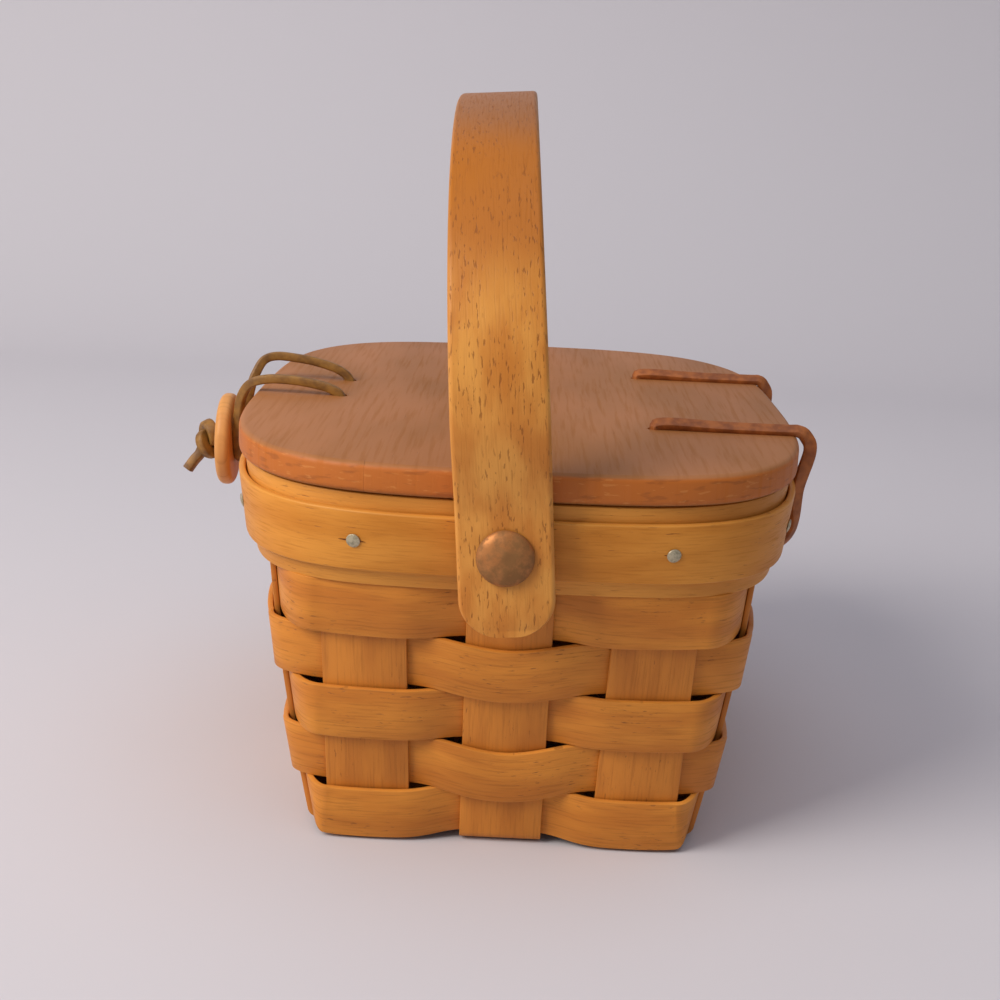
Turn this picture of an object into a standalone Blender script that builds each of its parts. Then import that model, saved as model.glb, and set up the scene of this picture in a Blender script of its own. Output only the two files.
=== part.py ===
"""A small lidded splint basket with a swinging bentwood handle.

Flat wooden splints are woven into a flared box. Three bands clamp the rim, a flat
wooden lid hangs on two leather laces, and a third lace on the lid loops behind a
wooden knob. The handle turns on two rivets. Z is up, the short ends face -Y and +Y,
the knob is on the -X side, and the origin is under the middle of the bottom.
"""

import math

import bmesh
import bpy
from mathutils import Matrix, Vector

MM = 0.001

# Fit between pieces that touch
TOUCH_GAP = 0.3 * MM
DRILL_OVERRUN = 2.0 * MM
WELD = 0.001 * MM

# Splint stock
SPLINT_T = 1.2 * MM
UPSPLINT_W = 17.8 * MM
WEAVER_T = 1.2 * MM
WEAVER_RISE = 11.8 * MM
WEAVE_GAP = 0.35 * MM
EDGE_WAVE = 0.25 * MM
FIRST_ROW_WAVE = 0.55 * MM

# Splint layout on the bottom
CROSS_COUNT = 3
CROSS_SPACE = 10.85 * MM
LONG_COUNT = 4
LONG_SPACE = 11.33 * MM
FOOT_MARGIN_X = 4.6 * MM
FOOT_MARGIN_Y = 6.2 * MM
FOLD_R = 1.8 * MM
FOLD_LIFT = 0.5 * MM
REST_REACH = 1.2 * MM
CROSS_REACH = 0.5 * MM

# Walls: flare is sideways growth for each unit of height, power is plan squareness,
# fan is how much further apart the uprights stand for each metre of height, and reach is
# how far a weaver runs on from an outer pass towards the corner before it turns in
WALL_FLARE_X = 0.2096
WALL_FLARE_Y = 0.19
FOOT_POWER = 24.0
RIM_POWER = 3.5
POWER_EASE = 1.0
UPRIGHT_FAN = 0.9
BEND_REACH = 0.7
ROW_COUNT = 5
ROW_SPACE = 0.4 * MM
FIRST_ROW_Z = 1.6 * MM

# Rim bands
WIDE_BAND_H = 19.4 * MM
WIDE_BAND_T = 1.3 * MM
BAND_GAP = 0.4 * MM
BAND_OVER_ROW = 0.1 * MM
TRIM_H = 12.4 * MM
TRIM_T = 1.5 * MM
TRIM_DROP = 3.3 * MM
INNER_BAND_H = 17.6 * MM
INNER_BAND_T = 1.2 * MM
INNER_BAND_STAND = 2.15 * MM
INNER_BAND_OVER_ROW = 1.6 * MM
SPLINT_TOP_DROP = 0.5 * MM

# Rim tacks
TACK_R = 0.5 * MM
TACK_DRILL_R = 0.75 * MM
TACK_HEAD_R = 1.45 * MM
TACK_HEAD_H = 0.55 * MM

# Lid
LID_T = 6.2 * MM
LID_EDGE_R = 1.4 * MM
LID_OVERHANG = 3.5 * MM
LID_GAP = 0.3 * MM
HINGE_HOLE_SETBACK = 32.8 * MM
HINGE_LACE_SHIFT = 2.2 * MM
LOOP_HOLE_SETBACK = 20.5 * MM
LOOP_HALF_SPREAD = 9.9 * MM

# Leather laces
LACE_R = 1.2 * MM
LACE_HOLE_R = 1.65 * MM
KNOT_R = 2.4 * MM
LACE_END = 0.9 * MM
LACE_STEP = 2.4 * MM
LACE_BEND = 2.2 * MM
LACE_SLACK = 0.3 * MM
HINGE_BULGE = 2.4 * MM
LOOP_ARCH = 2.6 * MM
KNOB_KNOT_R = 3.1 * MM
TAIL_OUT = 3.6 * MM
TAIL_DROP = 7.0 * MM

# Knob
KNOB_R = 11.0 * MM
KNOB_T = 3.7 * MM
KNOB_EDGE_R = 1.3 * MM
NECK_R = 2.7 * MM
NECK_LENGTH = 7.4 * MM
KNOB_ABOVE_TRIM_MIDDLE = 1.8 * MM

# Handle
HANDLE_W = 19.0 * MM
HANDLE_TOP_W = 17.4 * MM
HANDLE_T = 4.4 * MM
HANDLE_EDGE_R = 0.6 * MM
HANDLE_TAIL = 16.2 * MM
HANDLE_CORNER_R = 7.5 * MM
HANDLE_LEG = 27.8 * MM
HANDLE_ARCH_RISE = 57.0 * MM
HANDLE_BOW = 3.6 * MM
HANDLE_ARCH_POWER = 2.3
HANDLE_RUN_GAP = 0.4 * MM
HANDLE_LEAN = math.radians(-4.4)
PIVOT_OFF_CENTRE = -1.5 * MM

# Rivets
RIVET_R = 2.4 * MM
RIVET_DRILL_R = 2.6 * MM
RIVET_HEAD_R = 5.7 * MM
RIVET_HEAD_H = 2.2 * MM
BURR_R = 4.4 * MM
BURR_T = 1.0 * MM
PEEN_R = 3.2 * MM
PEEN_H = 0.9 * MM

# Facets, and where a ring's stations stand across a strip, from -1 to 1
STATION_SHARES = (-1.0, 0.0, 1.0)
STRIP_STEPS = 3
CORNER_STEPS = 6
WALL_STEPS = 5
FOLD_STEPS = 3
HANDLE_STEPS = 30
END_STEPS = 4
LID_POINTS = 60
DRILL_SIDES = 12
TACK_SIDES = 6
TURNED_SIDES = 24

# Sizes worked out from those above
ROW_PITCH = WEAVER_RISE + ROW_SPACE
CROSS_PITCH = UPSPLINT_W + CROSS_SPACE
LONG_PITCH = UPSPLINT_W + LONG_SPACE
WEAVE_OFFSET = (SPLINT_T + WEAVER_T) / 2 + WEAVE_GAP
LAYER_STEP = SPLINT_T + TOUCH_GAP
ROWS_TOP_Z = FIRST_ROW_Z + ROW_COUNT * ROW_PITCH - ROW_SPACE
WIDE_BAND_Z = ROWS_TOP_Z + BAND_OVER_ROW
WIDE_BAND_TOP_Z = WIDE_BAND_Z + WIDE_BAND_H
TRIM_Z = WIDE_BAND_TOP_Z - TRIM_DROP - TRIM_H
INNER_BAND_Z = ROWS_TOP_Z + INNER_BAND_OVER_ROW
RIM_Z = max(WIDE_BAND_TOP_Z, INNER_BAND_Z + INNER_BAND_H + TOUCH_GAP)
SPLINT_TOP_Z = RIM_Z - SPLINT_TOP_DROP
BAND_INNER = SPLINT_T / 2 + BAND_GAP
TRIM_INNER = BAND_INNER + WIDE_BAND_T + TOUCH_GAP
TRIM_OUTER = TRIM_INNER + TRIM_T
INNER_BAND_INNER = -(INNER_BAND_STAND + INNER_BAND_T)
LID_Z = RIM_Z + LID_GAP
LID_TOP_Z = LID_Z + LID_T
PIVOT_Z = TRIM_Z + TRIM_H / 2
KNOB_Z = PIVOT_Z + KNOB_ABOVE_TRIM_MIDDLE
HINGE_LACE_Y = LONG_PITCH + HINGE_LACE_SHIFT

FINISHES = {
    "splint": ((0.55, 0.24, 0.070, 1.0), 0.55, 0.0),
    "band": ((0.62, 0.29, 0.085, 1.0), 0.50, 0.0),
    "handle_wood": ((0.57, 0.23, 0.050, 1.0), 0.50, 0.0),
    "lid_wood": ((0.38, 0.17, 0.085, 1.0), 0.60, 0.0),
    "knob_wood": ((0.55, 0.26, 0.110, 1.0), 0.50, 0.0),
    "lace_leather": ((0.30, 0.12, 0.035, 1.0), 0.60, 0.0),
    "loop_leather": ((0.23, 0.11, 0.035, 1.0), 0.60, 0.0),
    "tack_steel": ((0.45, 0.46, 0.42, 1.0), 0.45, 1.0),
    "rivet_copper": ((0.30, 0.16, 0.085, 1.0), 0.50, 1.0),
}


def clear_scene():
    """Remove every object and the collections of an earlier run."""
    for old in list(bpy.data.objects):
        bpy.data.objects.remove(old, do_unlink=True)
    for old in list(bpy.data.collections):
        bpy.data.collections.remove(old)


def new_collection(name):
    """Make a collection in the scene."""
    made = bpy.data.collections.new(name)
    bpy.context.scene.collection.children.link(made)
    return made


def finish_for(name):
    """Return the Principled material of one finish."""
    found = bpy.data.materials.get(name)
    if found:
        return found
    colour, roughness, metallic = FINISHES[name]
    made = bpy.data.materials.new(name)
    made.use_nodes = True
    shader = made.node_tree.nodes["Principled BSDF"]
    shader.inputs["Base Color"].default_value = colour
    shader.inputs["Roughness"].default_value = roughness
    shader.inputs["Metallic"].default_value = metallic
    made.diffuse_color = colour
    return made


def object_from_bmesh(name, bm, collection, finish=None):
    """Turn a bmesh into an object in a collection."""
    mesh = bpy.data.meshes.new(name)
    bm.normal_update()
    bm.to_mesh(mesh)
    bm.free()
    made = bpy.data.objects.new(name, mesh)
    collection.objects.link(made)
    if finish:
        mesh.materials.append(finish_for(finish))
    return made


def as_cutter(thing):
    """Mark an object as a cutter that is not part of the model."""
    thing.hide_render = True
    thing.display_type = "WIRE"
    return thing


def solidify(thing, thickness):
    """Thicken an open surface evenly to both sides."""
    shell = thing.modifiers.new("thickness", "SOLIDIFY")
    shell.thickness = thickness
    shell.offset = 0.0
    shell.use_even_offset = True


def drill(thing, cutter):
    """Cut a hole or notch with a cutter object."""
    cut = thing.modifiers.new("cut_" + cutter.name, "BOOLEAN")
    cut.operation = "DIFFERENCE"
    cut.solver = "EXACT"
    cut.object = cutter


def smooth_share(share):
    """Ease a share from 0 to 1 with level ends."""
    held = min(max(share, 0.0), 1.0)
    return held * held * (3.0 - 2.0 * held)


def wall_sizes(z):
    """Half sizes and squareness of the plan of the splints' middle surface."""
    foot_x = (CROSS_COUNT - 1) / 2 * CROSS_PITCH + UPSPLINT_W / 2 + FOOT_MARGIN_X
    foot_y = (LONG_COUNT - 1) / 2 * LONG_PITCH + UPSPLINT_W / 2 + FOOT_MARGIN_Y
    rise = min(max(z / RIM_Z, 0.0), 1.0) ** POWER_EASE
    power = 1.0 / ((1.0 - rise) / FOOT_POWER + rise / RIM_POWER)
    return foot_x + WALL_FLARE_X * z, foot_y + WALL_FLARE_Y * z, power


def wall_flare(side):
    """Sideways growth of one side for each unit of height."""
    return WALL_FLARE_Y if side in ("near", "far") else WALL_FLARE_X


def oval_normal(x, y, half_x, half_y, power):
    """Outward direction of a rounded box outline at one of its points."""
    across = math.copysign(abs(x / half_x) ** (power - 1.0), x) / half_x
    along = math.copysign(abs(y / half_y) ** (power - 1.0), y) / half_y
    return Vector((across, along, 0.0)).normalized()


def oval_point(side, place, z):
    """Point and outward direction on one side of the plan at a height.

    The side is near, right, far or left, and the place is x or y along it.
    """
    half_x, half_y, power = wall_sizes(z)
    if side in ("near", "far"):
        depth = half_y * (1.0 - abs(place / half_x) ** power) ** (1.0 / power)
        x, y = place, -depth if side == "near" else depth
    else:
        depth = half_x * (1.0 - abs(place / half_y) ** power) ** (1.0 / power)
        x, y = -depth if side == "left" else depth, place
    return Vector((x, y, z)), oval_normal(x, y, half_x, half_y, power)


def strip_centres(count, pitch):
    """Places of the strips of one set, from minus to plus."""
    return [(index - (count - 1) / 2) * pitch for index in range(count)]


CROSS_X = strip_centres(CROSS_COUNT, CROSS_PITCH)
LONG_Y = strip_centres(LONG_COUNT, LONG_PITCH)


def side_runs():
    """The four sides in order round the basket, each with its strips in order."""
    return [
        ("near", CROSS_X),
        ("right", LONG_Y),
        ("far", CROSS_X[::-1]),
        ("left", LONG_Y[::-1]),
    ]


def fanned(centre, z):
    """Place of an upright's middle at a height: the uprights spread as the walls flare."""
    return centre * (1.0 + UPRIGHT_FAN * max(z, 0.0))


def strip_point(side, centre, share, z):
    """Point and outward direction on a flat upright strip, with share -1 to 1 across it."""
    low = oval_point(side, fanned(centre, z) - UPSPLINT_W / 2, z)[0]
    high = oval_point(side, fanned(centre, z) + UPSPLINT_W / 2, z)[0]
    spot = low.lerp(high, (share + 1.0) / 2.0)
    along = (high - low).normalized()
    facing = Vector((along.y, -along.x, 0.0))
    if facing.dot(spot) < 0.0:
        facing.negate()
    return spot, facing


def ring_stations():
    """List the stations round a ring: a place function and its over and under phase.

    The phase is +1 or -1 on a strip, in turn, and passes through 0 between strips. A
    place function takes a height and how far out the ring lies where the phase is +1.
    """
    stations = []
    crossing = 0
    runs = side_runs()
    for turn, (side, centres) in enumerate(runs):
        step = 1.0 if centres[-1] > centres[0] else -1.0
        for index, centre in enumerate(centres):
            phase = 1.0 if crossing % 2 == 0 else -1.0
            for share in STATION_SHARES:
                stations.append((make_strip_place(side, centre, share * step, phase), phase))
            crossing += 1
            if index + 1 < len(centres):
                edges = (centre, centres[index + 1], step * UPSPLINT_W / 2)
                for count in range(1, STRIP_STEPS + 1):
                    share = count / (STRIP_STEPS + 1)
                    eased = phase * (1.0 - 2.0 * smooth_share(share))
                    stations.append((make_side_place(side, edges, share, eased), eased))
                continue
            next_side, next_centres = runs[(turn + 1) % len(runs)]
            next_step = 1.0 if next_centres[-1] > next_centres[0] else -1.0
            before = stations[-1][0]
            after = make_strip_place(next_side, next_centres[0], -next_step, -phase)
            for count in range(1, CORNER_STEPS + 1):
                share = count / (CORNER_STEPS + 1)
                eased = phase * (1.0 - 2.0 * smooth_share(share))
                stations.append((make_corner_place(side, before, after, share, phase), eased))
    return stations


def make_strip_place(side, centre, share, phase):
    """Place function of a station on an upright strip."""
    def place(z, out):
        spot, facing = strip_point(side, centre, share, z)
        return spot + facing * out * phase
    return place


def make_side_place(side, edges, share, phase):
    """Place function of a station between two strips of one side.

    The edges are the middles of both strips and the half width from the first to its edge.
    """
    before, after, half = edges

    def place(z, out):
        start, end = fanned(before, z) + half, fanned(after, z) - half
        spot, facing = oval_point(side, start + (end - start) * share, z)
        return spot + facing * out * phase
    return place


def make_corner_place(side, before, after, share, phase):
    """Place function of a station on the bend between the last strip of a side and the next.

    The weaver turns in soon after its outer pass and runs straight to its inner one.
    """
    def place(z, out):
        start, end = before(z, out), after(z, out)
        corner = Vector((end.x, start.y, z))
        if side in ("left", "right"):
            corner = Vector((start.x, end.y, z))
        outer = start if phase * out > 0.0 else end
        turn = outer.lerp(corner, BEND_REACH if out else 1.0)
        return start.lerp(turn, share).lerp(turn.lerp(end, share), share)
    return place


def ring_surface(point_loops):
    """Open ring surface lofted through loops of points, from the lowest up."""
    bm = bmesh.new()
    loops = [[bm.verts.new(point) for point in points] for points in point_loops]
    for low, high in zip(loops, loops[1:]):
        for i in range(len(low)):
            bm.faces.new((low[i - 1], low[i], high[i], high[i - 1]))
    bmesh.ops.recalc_face_normals(bm, faces=bm.faces)
    return bm


def weaver_row(name, row, collection):
    """One closed weaver ring; row 0 is the lowest."""
    flip = 1.0 if row % 2 == 0 else -1.0
    low_z = FIRST_ROW_Z + row * ROW_PITCH
    loops = ([], [])
    wave = FIRST_ROW_WAVE if row == 0 else EDGE_WAVE
    for place, phase in ring_stations():
        shift = -wave * flip * phase
        for loop, z in zip(loops, (low_z + shift, low_z + WEAVER_RISE + shift)):
            loop.append(place(z, flip * WEAVE_OFFSET))
    made = object_from_bmesh(name, ring_surface(loops), collection, "splint")
    solidify(made, WEAVER_T)
    return made


def band_ring(name, levels, middle, thickness, finish, collection):
    """A bent band through several levels, at one distance from the splints."""
    loops = [[] for _ in levels]
    for place, _ in ring_stations():
        for loop, z in zip(loops, levels):
            spot, facing = band_place(place, z)
            loop.append(spot + facing * middle)
    surface = ring_surface(loops)
    bmesh.ops.triangulate(surface, faces=surface.faces, quad_method="FIXED")
    made = object_from_bmesh(name, surface, collection, finish)
    solidify(made, thickness)
    return made


def band_place(place, z):
    """The place on the smooth plan curve that lies outside a station."""
    spot = place(z, 0.0)
    half_x, half_y, power = wall_sizes(z)
    reach = (abs(spot.x / half_x) ** power + abs(spot.y / half_y) ** power) ** (1.0 / power)
    x, y = spot.x / reach, spot.y / reach
    return Vector((x, y, z)), oval_normal(x, y, half_x, half_y, power)


def bottom_levels(crossings, outer_at, wall, flare):
    """Route of a strip over the bottom as (place, height) pairs, fold to fold.

    A strip lies flat where it passes under a crossing strip, and steps up just before
    it passes over the next one.
    """
    low, high = SPLINT_T / 2, SPLINT_T / 2 + LAYER_STEP
    half = UPSPLINT_W / 2
    marks = []
    for index, centre in enumerate(crossings):
        level = low if outer_at[index] else high
        marks.append((centre - half - CROSS_REACH, centre + half + CROSS_REACH, level))
    first, last = marks[0], marks[-1]
    start_level = low if outer_at[0] else low + FOLD_LIFT
    end_level = low if outer_at[-1] else low + FOLD_LIFT
    start = -(wall + flare * start_level)
    end = wall + flare * end_level
    route = [(start, start_level)]
    route += rise_between(start + FOLD_R + CROSS_REACH, start_level, first[0], first[2])
    for index, (_, right, level) in enumerate(marks[:-1]):
        next_left, _, next_level = marks[index + 1]
        middle = (right + next_left) / 2
        if level < next_level:
            route += rise_between(middle + REST_REACH, level, next_left, next_level)
        else:
            route += rise_between(right, level, middle - REST_REACH, next_level)
    route += rise_between(last[1], last[2], end - FOLD_R - CROSS_REACH, end_level)
    route.append((end, end_level))
    return route


def rise_between(start, start_level, end, end_level):
    """Eased step between two levels as (place, height) pairs."""
    if start_level == end_level:
        return []
    steps = []
    for count in range(STRIP_STEPS + 1):
        share = count / STRIP_STEPS
        level = start_level + (end_level - start_level) * smooth_share(share)
        steps.append((start + (end - start) * share, level))
    return steps


def fold_points(corner, up_the_wall, inward):
    """Round a fold with an arc between its two straight arms, as 2D points."""
    rise, floor = up_the_wall.normalized(), inward.normalized()
    half_angle = rise.angle(floor) / 2
    run = FOLD_R / math.tan(half_angle)
    centre = corner + (rise + floor).normalized() * (FOLD_R / math.sin(half_angle))
    first, last = corner + rise * run, corner + floor * run
    spoke_a, spoke_b = first - centre, last - centre
    sweep = spoke_a.angle(spoke_b)
    points = []
    for count in range(FOLD_STEPS + 1):
        share = count / FOLD_STEPS
        ahead = math.sin((1.0 - share) * sweep) / math.sin(sweep)
        behind = math.sin(share * sweep) / math.sin(sweep)
        points.append(centre + spoke_a * ahead + spoke_b * behind)
    return points


def upright_strip(name, axis, centre, index, collection):
    """A splint that crosses the bottom and stands up at both ends.

    The axis is Y for a strip with ends at the near and far sides, and X for one with
    ends at the left and right sides.
    """
    if axis == "Y":
        crossings, sides = LONG_Y, ("near", "far")
        outer_at = [(index + other) % 2 == 0 for other in range(LONG_COUNT)]
        wall = wall_sizes(0.0)[1]
    else:
        crossings, sides = CROSS_X, ("left", "right")
        outer_at = [(index + other) % 2 == 1 for other in range(CROSS_COUNT)]
        wall = wall_sizes(0.0)[0]
    route = bottom_levels(crossings, outer_at, wall, wall_flare(sides[0]))
    rows = []
    for end, side in ((0, sides[0]), (-1, sides[1])):
        wall_rows = wall_strip_rows(side, centre, route[end])
        rows.append(wall_rows)
    flat = [strip_row(axis, centre, place, level) for place, level in route[1:-1]]
    edge_rows = rows[0] + flat + rows[1][::-1]
    bm = bmesh.new()
    first = [bm.verts.new(row[0]) for row in edge_rows]
    second = [bm.verts.new(row[1]) for row in edge_rows]
    for i in range(len(first) - 1):
        bm.faces.new((first[i], first[i + 1], second[i + 1], second[i]))
    made = object_from_bmesh(name, bm, collection, "splint")
    solidify(made, SPLINT_T)
    return made


def strip_row(axis, centre, place, level):
    """The two edge points of a strip on the bottom."""
    half = UPSPLINT_W / 2
    if axis == "Y":
        return Vector((centre - half, place, level)), Vector((centre + half, place, level))
    return Vector((place, centre - half, level)), Vector((place, centre + half, level))


def wall_strip_rows(side, centre, fold):
    """Edge points of a strip from its top edge down to its fold, top first."""
    place, level = fold
    outward = -1.0 if side in ("near", "left") else 1.0
    flare = wall_flare(side)
    slope = Vector((outward * flare, 1.0))
    corner = Vector((place, level))
    arc = fold_points(corner, slope, Vector((-outward, 0.0)))
    fold_top = arc[0].y
    rows = []
    for count in range(WALL_STEPS):
        z = SPLINT_TOP_Z + (fold_top - SPLINT_TOP_Z) * count / WALL_STEPS
        rows.append(tuple(strip_point(side, centre, share, z)[0] for share in (-1.0, 1.0)))
    for point in arc:
        pair = []
        for share in (-1.0, 1.0):
            spot = strip_point(side, centre, share, max(point.y, fold_top))[0]
            wall_here = abs(place) + flare * (max(point.y, fold_top) - level)
            inset = (wall_here - abs(point.x)) * -outward
            if side in ("near", "far"):
                pair.append(Vector((spot.x, spot.y + inset, point.y)))
            else:
                pair.append(Vector((spot.x + inset, spot.y, point.y)))
        rows.append(tuple(pair))
    return rows


def turned(name, profile, place, axis, sides, finish, collection):
    """A turned piece: a profile of (radius, along) pairs spun about an axis."""
    bm = bmesh.new()
    closed = profile[0] == profile[-1]
    points = profile[:-1] if closed else profile
    verts = [bm.verts.new((radius, 0.0, along)) for radius, along in points]
    for i in range(len(verts) - 1):
        bm.edges.new((verts[i], verts[i + 1]))
    if closed:
        bm.edges.new((verts[-1], verts[0]))
    made = object_from_bmesh(name, bm, collection, finish)
    spin = made.modifiers.new("turning", "SCREW")
    spin.steps = sides
    spin.render_steps = sides
    spin.use_merge_vertices = True
    spin.merge_threshold = WELD
    made.location = place
    made.rotation_euler = Vector((0.0, 0.0, 1.0)).rotation_difference(axis).to_euler()
    return made


def arc_profile(centre_r, centre_along, radius, start_deg, end_deg, steps=2):
    """Points of a rounded edge in a turned profile."""
    points = []
    for count in range(steps + 1):
        angle = math.radians(start_deg + (end_deg - start_deg) * count / steps)
        spot = (centre_r + radius * math.cos(angle), centre_along + radius * math.sin(angle))
        points.append(spot)
    return points


def add_rod(bm, start, end, radius, sides):
    """Add a closed cylinder between two points to a bmesh."""
    span = end - start
    turn = Vector((0.0, 0.0, 1.0)).rotation_difference(span).to_matrix().to_4x4()
    matrix = Matrix.Translation((start + end) / 2) @ turn
    bmesh.ops.create_cone(
        bm, cap_ends=True, segments=sides, radius1=radius, radius2=radius,
        depth=span.length, matrix=matrix,
    )


def tack_sites():
    """Name, place and outward direction of each rim tack, on the splints' middle surface."""
    sites = []
    for side, centres in side_runs():
        skipped = CROSS_PITCH / 2 if side in ("near", "far") else 0.0
        tacked = [centre for centre in centres if abs(centre) > skipped]
        for index, centre in enumerate(tacked):
            spot, facing = band_place(make_strip_place(side, centre, 0.0, 0.0), PIVOT_Z)
            facing = (facing + Vector((0.0, 0.0, -wall_flare(side)))).normalized()
            sites.append((f"tack_{side}_{index + 1}", spot, facing))
    return sites


def tack_drills(collection):
    """Cutters for all tack holes through the rim."""
    bm = bmesh.new()
    for _, spot, facing in tack_sites():
        start = spot + facing * (INNER_BAND_INNER - DRILL_OVERRUN)
        end = spot + facing * (TRIM_OUTER + DRILL_OVERRUN)
        add_rod(bm, start, end, TACK_DRILL_R, TACK_SIDES)
    return as_cutter(object_from_bmesh("tack_drills", bm, collection))


def rim_tack(name, spot, facing, collection):
    """A tack: a flat head on the trim strip and a shank through the rim's layers."""
    seat = TRIM_OUTER + TOUCH_GAP
    tail = INNER_BAND_INNER - TOUCH_GAP
    profile = [
        (0.0, seat + TACK_HEAD_H), (TACK_HEAD_R / 2, seat + TACK_HEAD_H),
        (TACK_HEAD_R, seat + TACK_HEAD_H / 2), (TACK_HEAD_R, seat), (TACK_R, seat),
        (TACK_R, tail), (0.0, tail),
    ]
    return turned(name, profile, spot, facing, TACK_SIDES, "tack_steel", collection)


def rivet_drills(collection):
    """Cutters for the two rivet holes through the rim and the handle."""
    bm = bmesh.new()
    inner = wall_sizes(PIVOT_Z)[1] + INNER_BAND_INNER - DRILL_OVERRUN
    outer = handle_inner_y() + HANDLE_T + DRILL_OVERRUN
    for sign in (-1.0, 1.0):
        start = Vector((PIVOT_OFF_CENTRE, sign * inner, PIVOT_Z))
        end = Vector((PIVOT_OFF_CENTRE, sign * outer, PIVOT_Z))
        add_rod(bm, start, end, RIVET_DRILL_R, TURNED_SIDES)
    return as_cutter(object_from_bmesh("rivet_drills", bm, collection))


def handle_inner_y():
    """Distance from the middle to the inner face of the handle at its pivots."""
    trim_top = TRIM_Z + TRIM_H
    return wall_sizes(trim_top)[1] + TRIM_OUTER + HANDLE_RUN_GAP


def rivet(name, sign, collection):
    """A domed rivet through the handle and the rim, with its shank peened inside."""
    inner_face = wall_sizes(PIVOT_Z)[1] + INNER_BAND_INNER
    burr_seat = inner_face - WALL_FLARE_Y * BURR_R - TOUCH_GAP
    seat = handle_inner_y() + HANDLE_T + TOUCH_GAP
    tail = burr_seat - BURR_T - TOUCH_GAP
    dome = [(0.0, seat + RIVET_HEAD_H)]
    for count in range(1, 5):
        angle = math.pi / 2 * count / 5
        dome.append((RIVET_HEAD_R * math.sin(angle), seat + RIVET_HEAD_H * math.cos(angle)))
    profile = dome + [
        (RIVET_HEAD_R, seat),
        (RIVET_R, seat),
        (RIVET_R, tail),
        (PEEN_R, tail),
        (PEEN_R, tail - PEEN_H / 2),
        (PEEN_R / 2, tail - PEEN_H),
        (0.0, tail - PEEN_H),
    ]
    place = Vector((PIVOT_OFF_CENTRE, 0.0, PIVOT_Z))
    return turned(name, profile, place, Vector((0.0, sign, 0.0)), TURNED_SIDES,
                  "rivet_copper", collection)


def burr(name, sign, collection):
    """The washer that a rivet is peened over, inside the basket."""
    inner_face = wall_sizes(PIVOT_Z)[1] + INNER_BAND_INNER
    seat = inner_face - WALL_FLARE_Y * BURR_R - TOUCH_GAP
    profile = [
        (BURR_R, seat), (BURR_R, seat - BURR_T), (RIVET_DRILL_R, seat - BURR_T),
        (RIVET_DRILL_R, seat), (BURR_R, seat),
    ]
    place = Vector((PIVOT_OFF_CENTRE, 0.0, PIVOT_Z))
    return turned(name, profile, place, Vector((0.0, sign, 0.0)), TURNED_SIDES,
                  "rivet_copper", collection)


def handle_centre_line():
    """Middle line of the handle as (y, height above the pivot, half width) rows."""
    leg_y = handle_inner_y() + HANDLE_T / 2
    span = leg_y + HANDLE_BOW
    half = HANDLE_W / 2
    leg = []
    for count in range(END_STEPS + 1):
        angle = math.pi / 2 * count / END_STEPS
        rise = HANDLE_CORNER_R * (1.0 - math.cos(angle))
        width = half - HANDLE_CORNER_R + HANDLE_CORNER_R * math.sin(angle)
        leg.append((leg_y, rise - HANDLE_TAIL, width))
    flat_top = RIVET_HEAD_R + HANDLE_EDGE_R
    for count in range(WALL_STEPS + 1):
        share = count / WALL_STEPS
        rise = flat_top + (HANDLE_LEG - flat_top) * share
        leg.append((leg_y + HANDLE_BOW * smooth_share(share), rise, half))
    arch = []
    for count in range(1, HANDLE_STEPS):
        angle = math.pi * count / HANDLE_STEPS
        cosine = math.cos(angle)
        y = math.copysign(abs(cosine) ** (2.0 / HANDLE_ARCH_POWER), cosine) * span
        rise = math.sin(angle) ** (2.0 / HANDLE_ARCH_POWER) * HANDLE_ARCH_RISE
        narrowed = half + (HANDLE_TOP_W / 2 - half) * rise / HANDLE_ARCH_RISE
        arch.append((y, HANDLE_LEG + rise, narrowed))
    mirrored = [(-y, rise, width) for y, rise, width in leg[::-1]]
    return leg + arch + mirrored


def handle(collection, drills):
    """The bentwood handle, leaning as it stands at rest."""
    bm = bmesh.new()
    rows = handle_centre_line()
    left = [bm.verts.new((-width, y, rise)) for y, rise, width in rows]
    right = [bm.verts.new((width, y, rise)) for y, rise, width in rows]
    for i in range(len(rows) - 1):
        bm.faces.new((left[i], right[i], right[i + 1], left[i + 1]))
    made = object_from_bmesh("handle", bm, collection, "handle_wood")
    solidify(made, HANDLE_T)
    ease = made.modifiers.new("eased_edges", "BEVEL")
    ease.width = HANDLE_EDGE_R
    ease.segments = 1
    ease.use_clamp_overlap = False
    ease.limit_method = "ANGLE"
    ease.angle_limit = math.radians(60.0)
    made.location = (PIVOT_OFF_CENTRE, 0.0, PIVOT_Z)
    made.rotation_euler = (0.0, HANDLE_LEAN, 0.0)
    drill(made, drills)
    return made


def lid_sizes():
    """Half sizes of the lid."""
    half_x, half_y, _ = wall_sizes(RIM_Z)
    return half_x + LID_OVERHANG, half_y + LID_OVERHANG


def lid_holes():
    """Places of the four lace holes in the lid: two for the hinges, two for the loop."""
    half_x, _ = lid_sizes()
    hinge_x = half_x - HINGE_HOLE_SETBACK
    loop_x = -(half_x - LOOP_HOLE_SETBACK)
    return [
        Vector((hinge_x, -HINGE_LACE_Y, 0.0)),
        Vector((hinge_x, HINGE_LACE_Y, 0.0)),
        Vector((loop_x, -LOOP_HALF_SPREAD, 0.0)),
        Vector((loop_x, LOOP_HALF_SPREAD, 0.0)),
    ]


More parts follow.
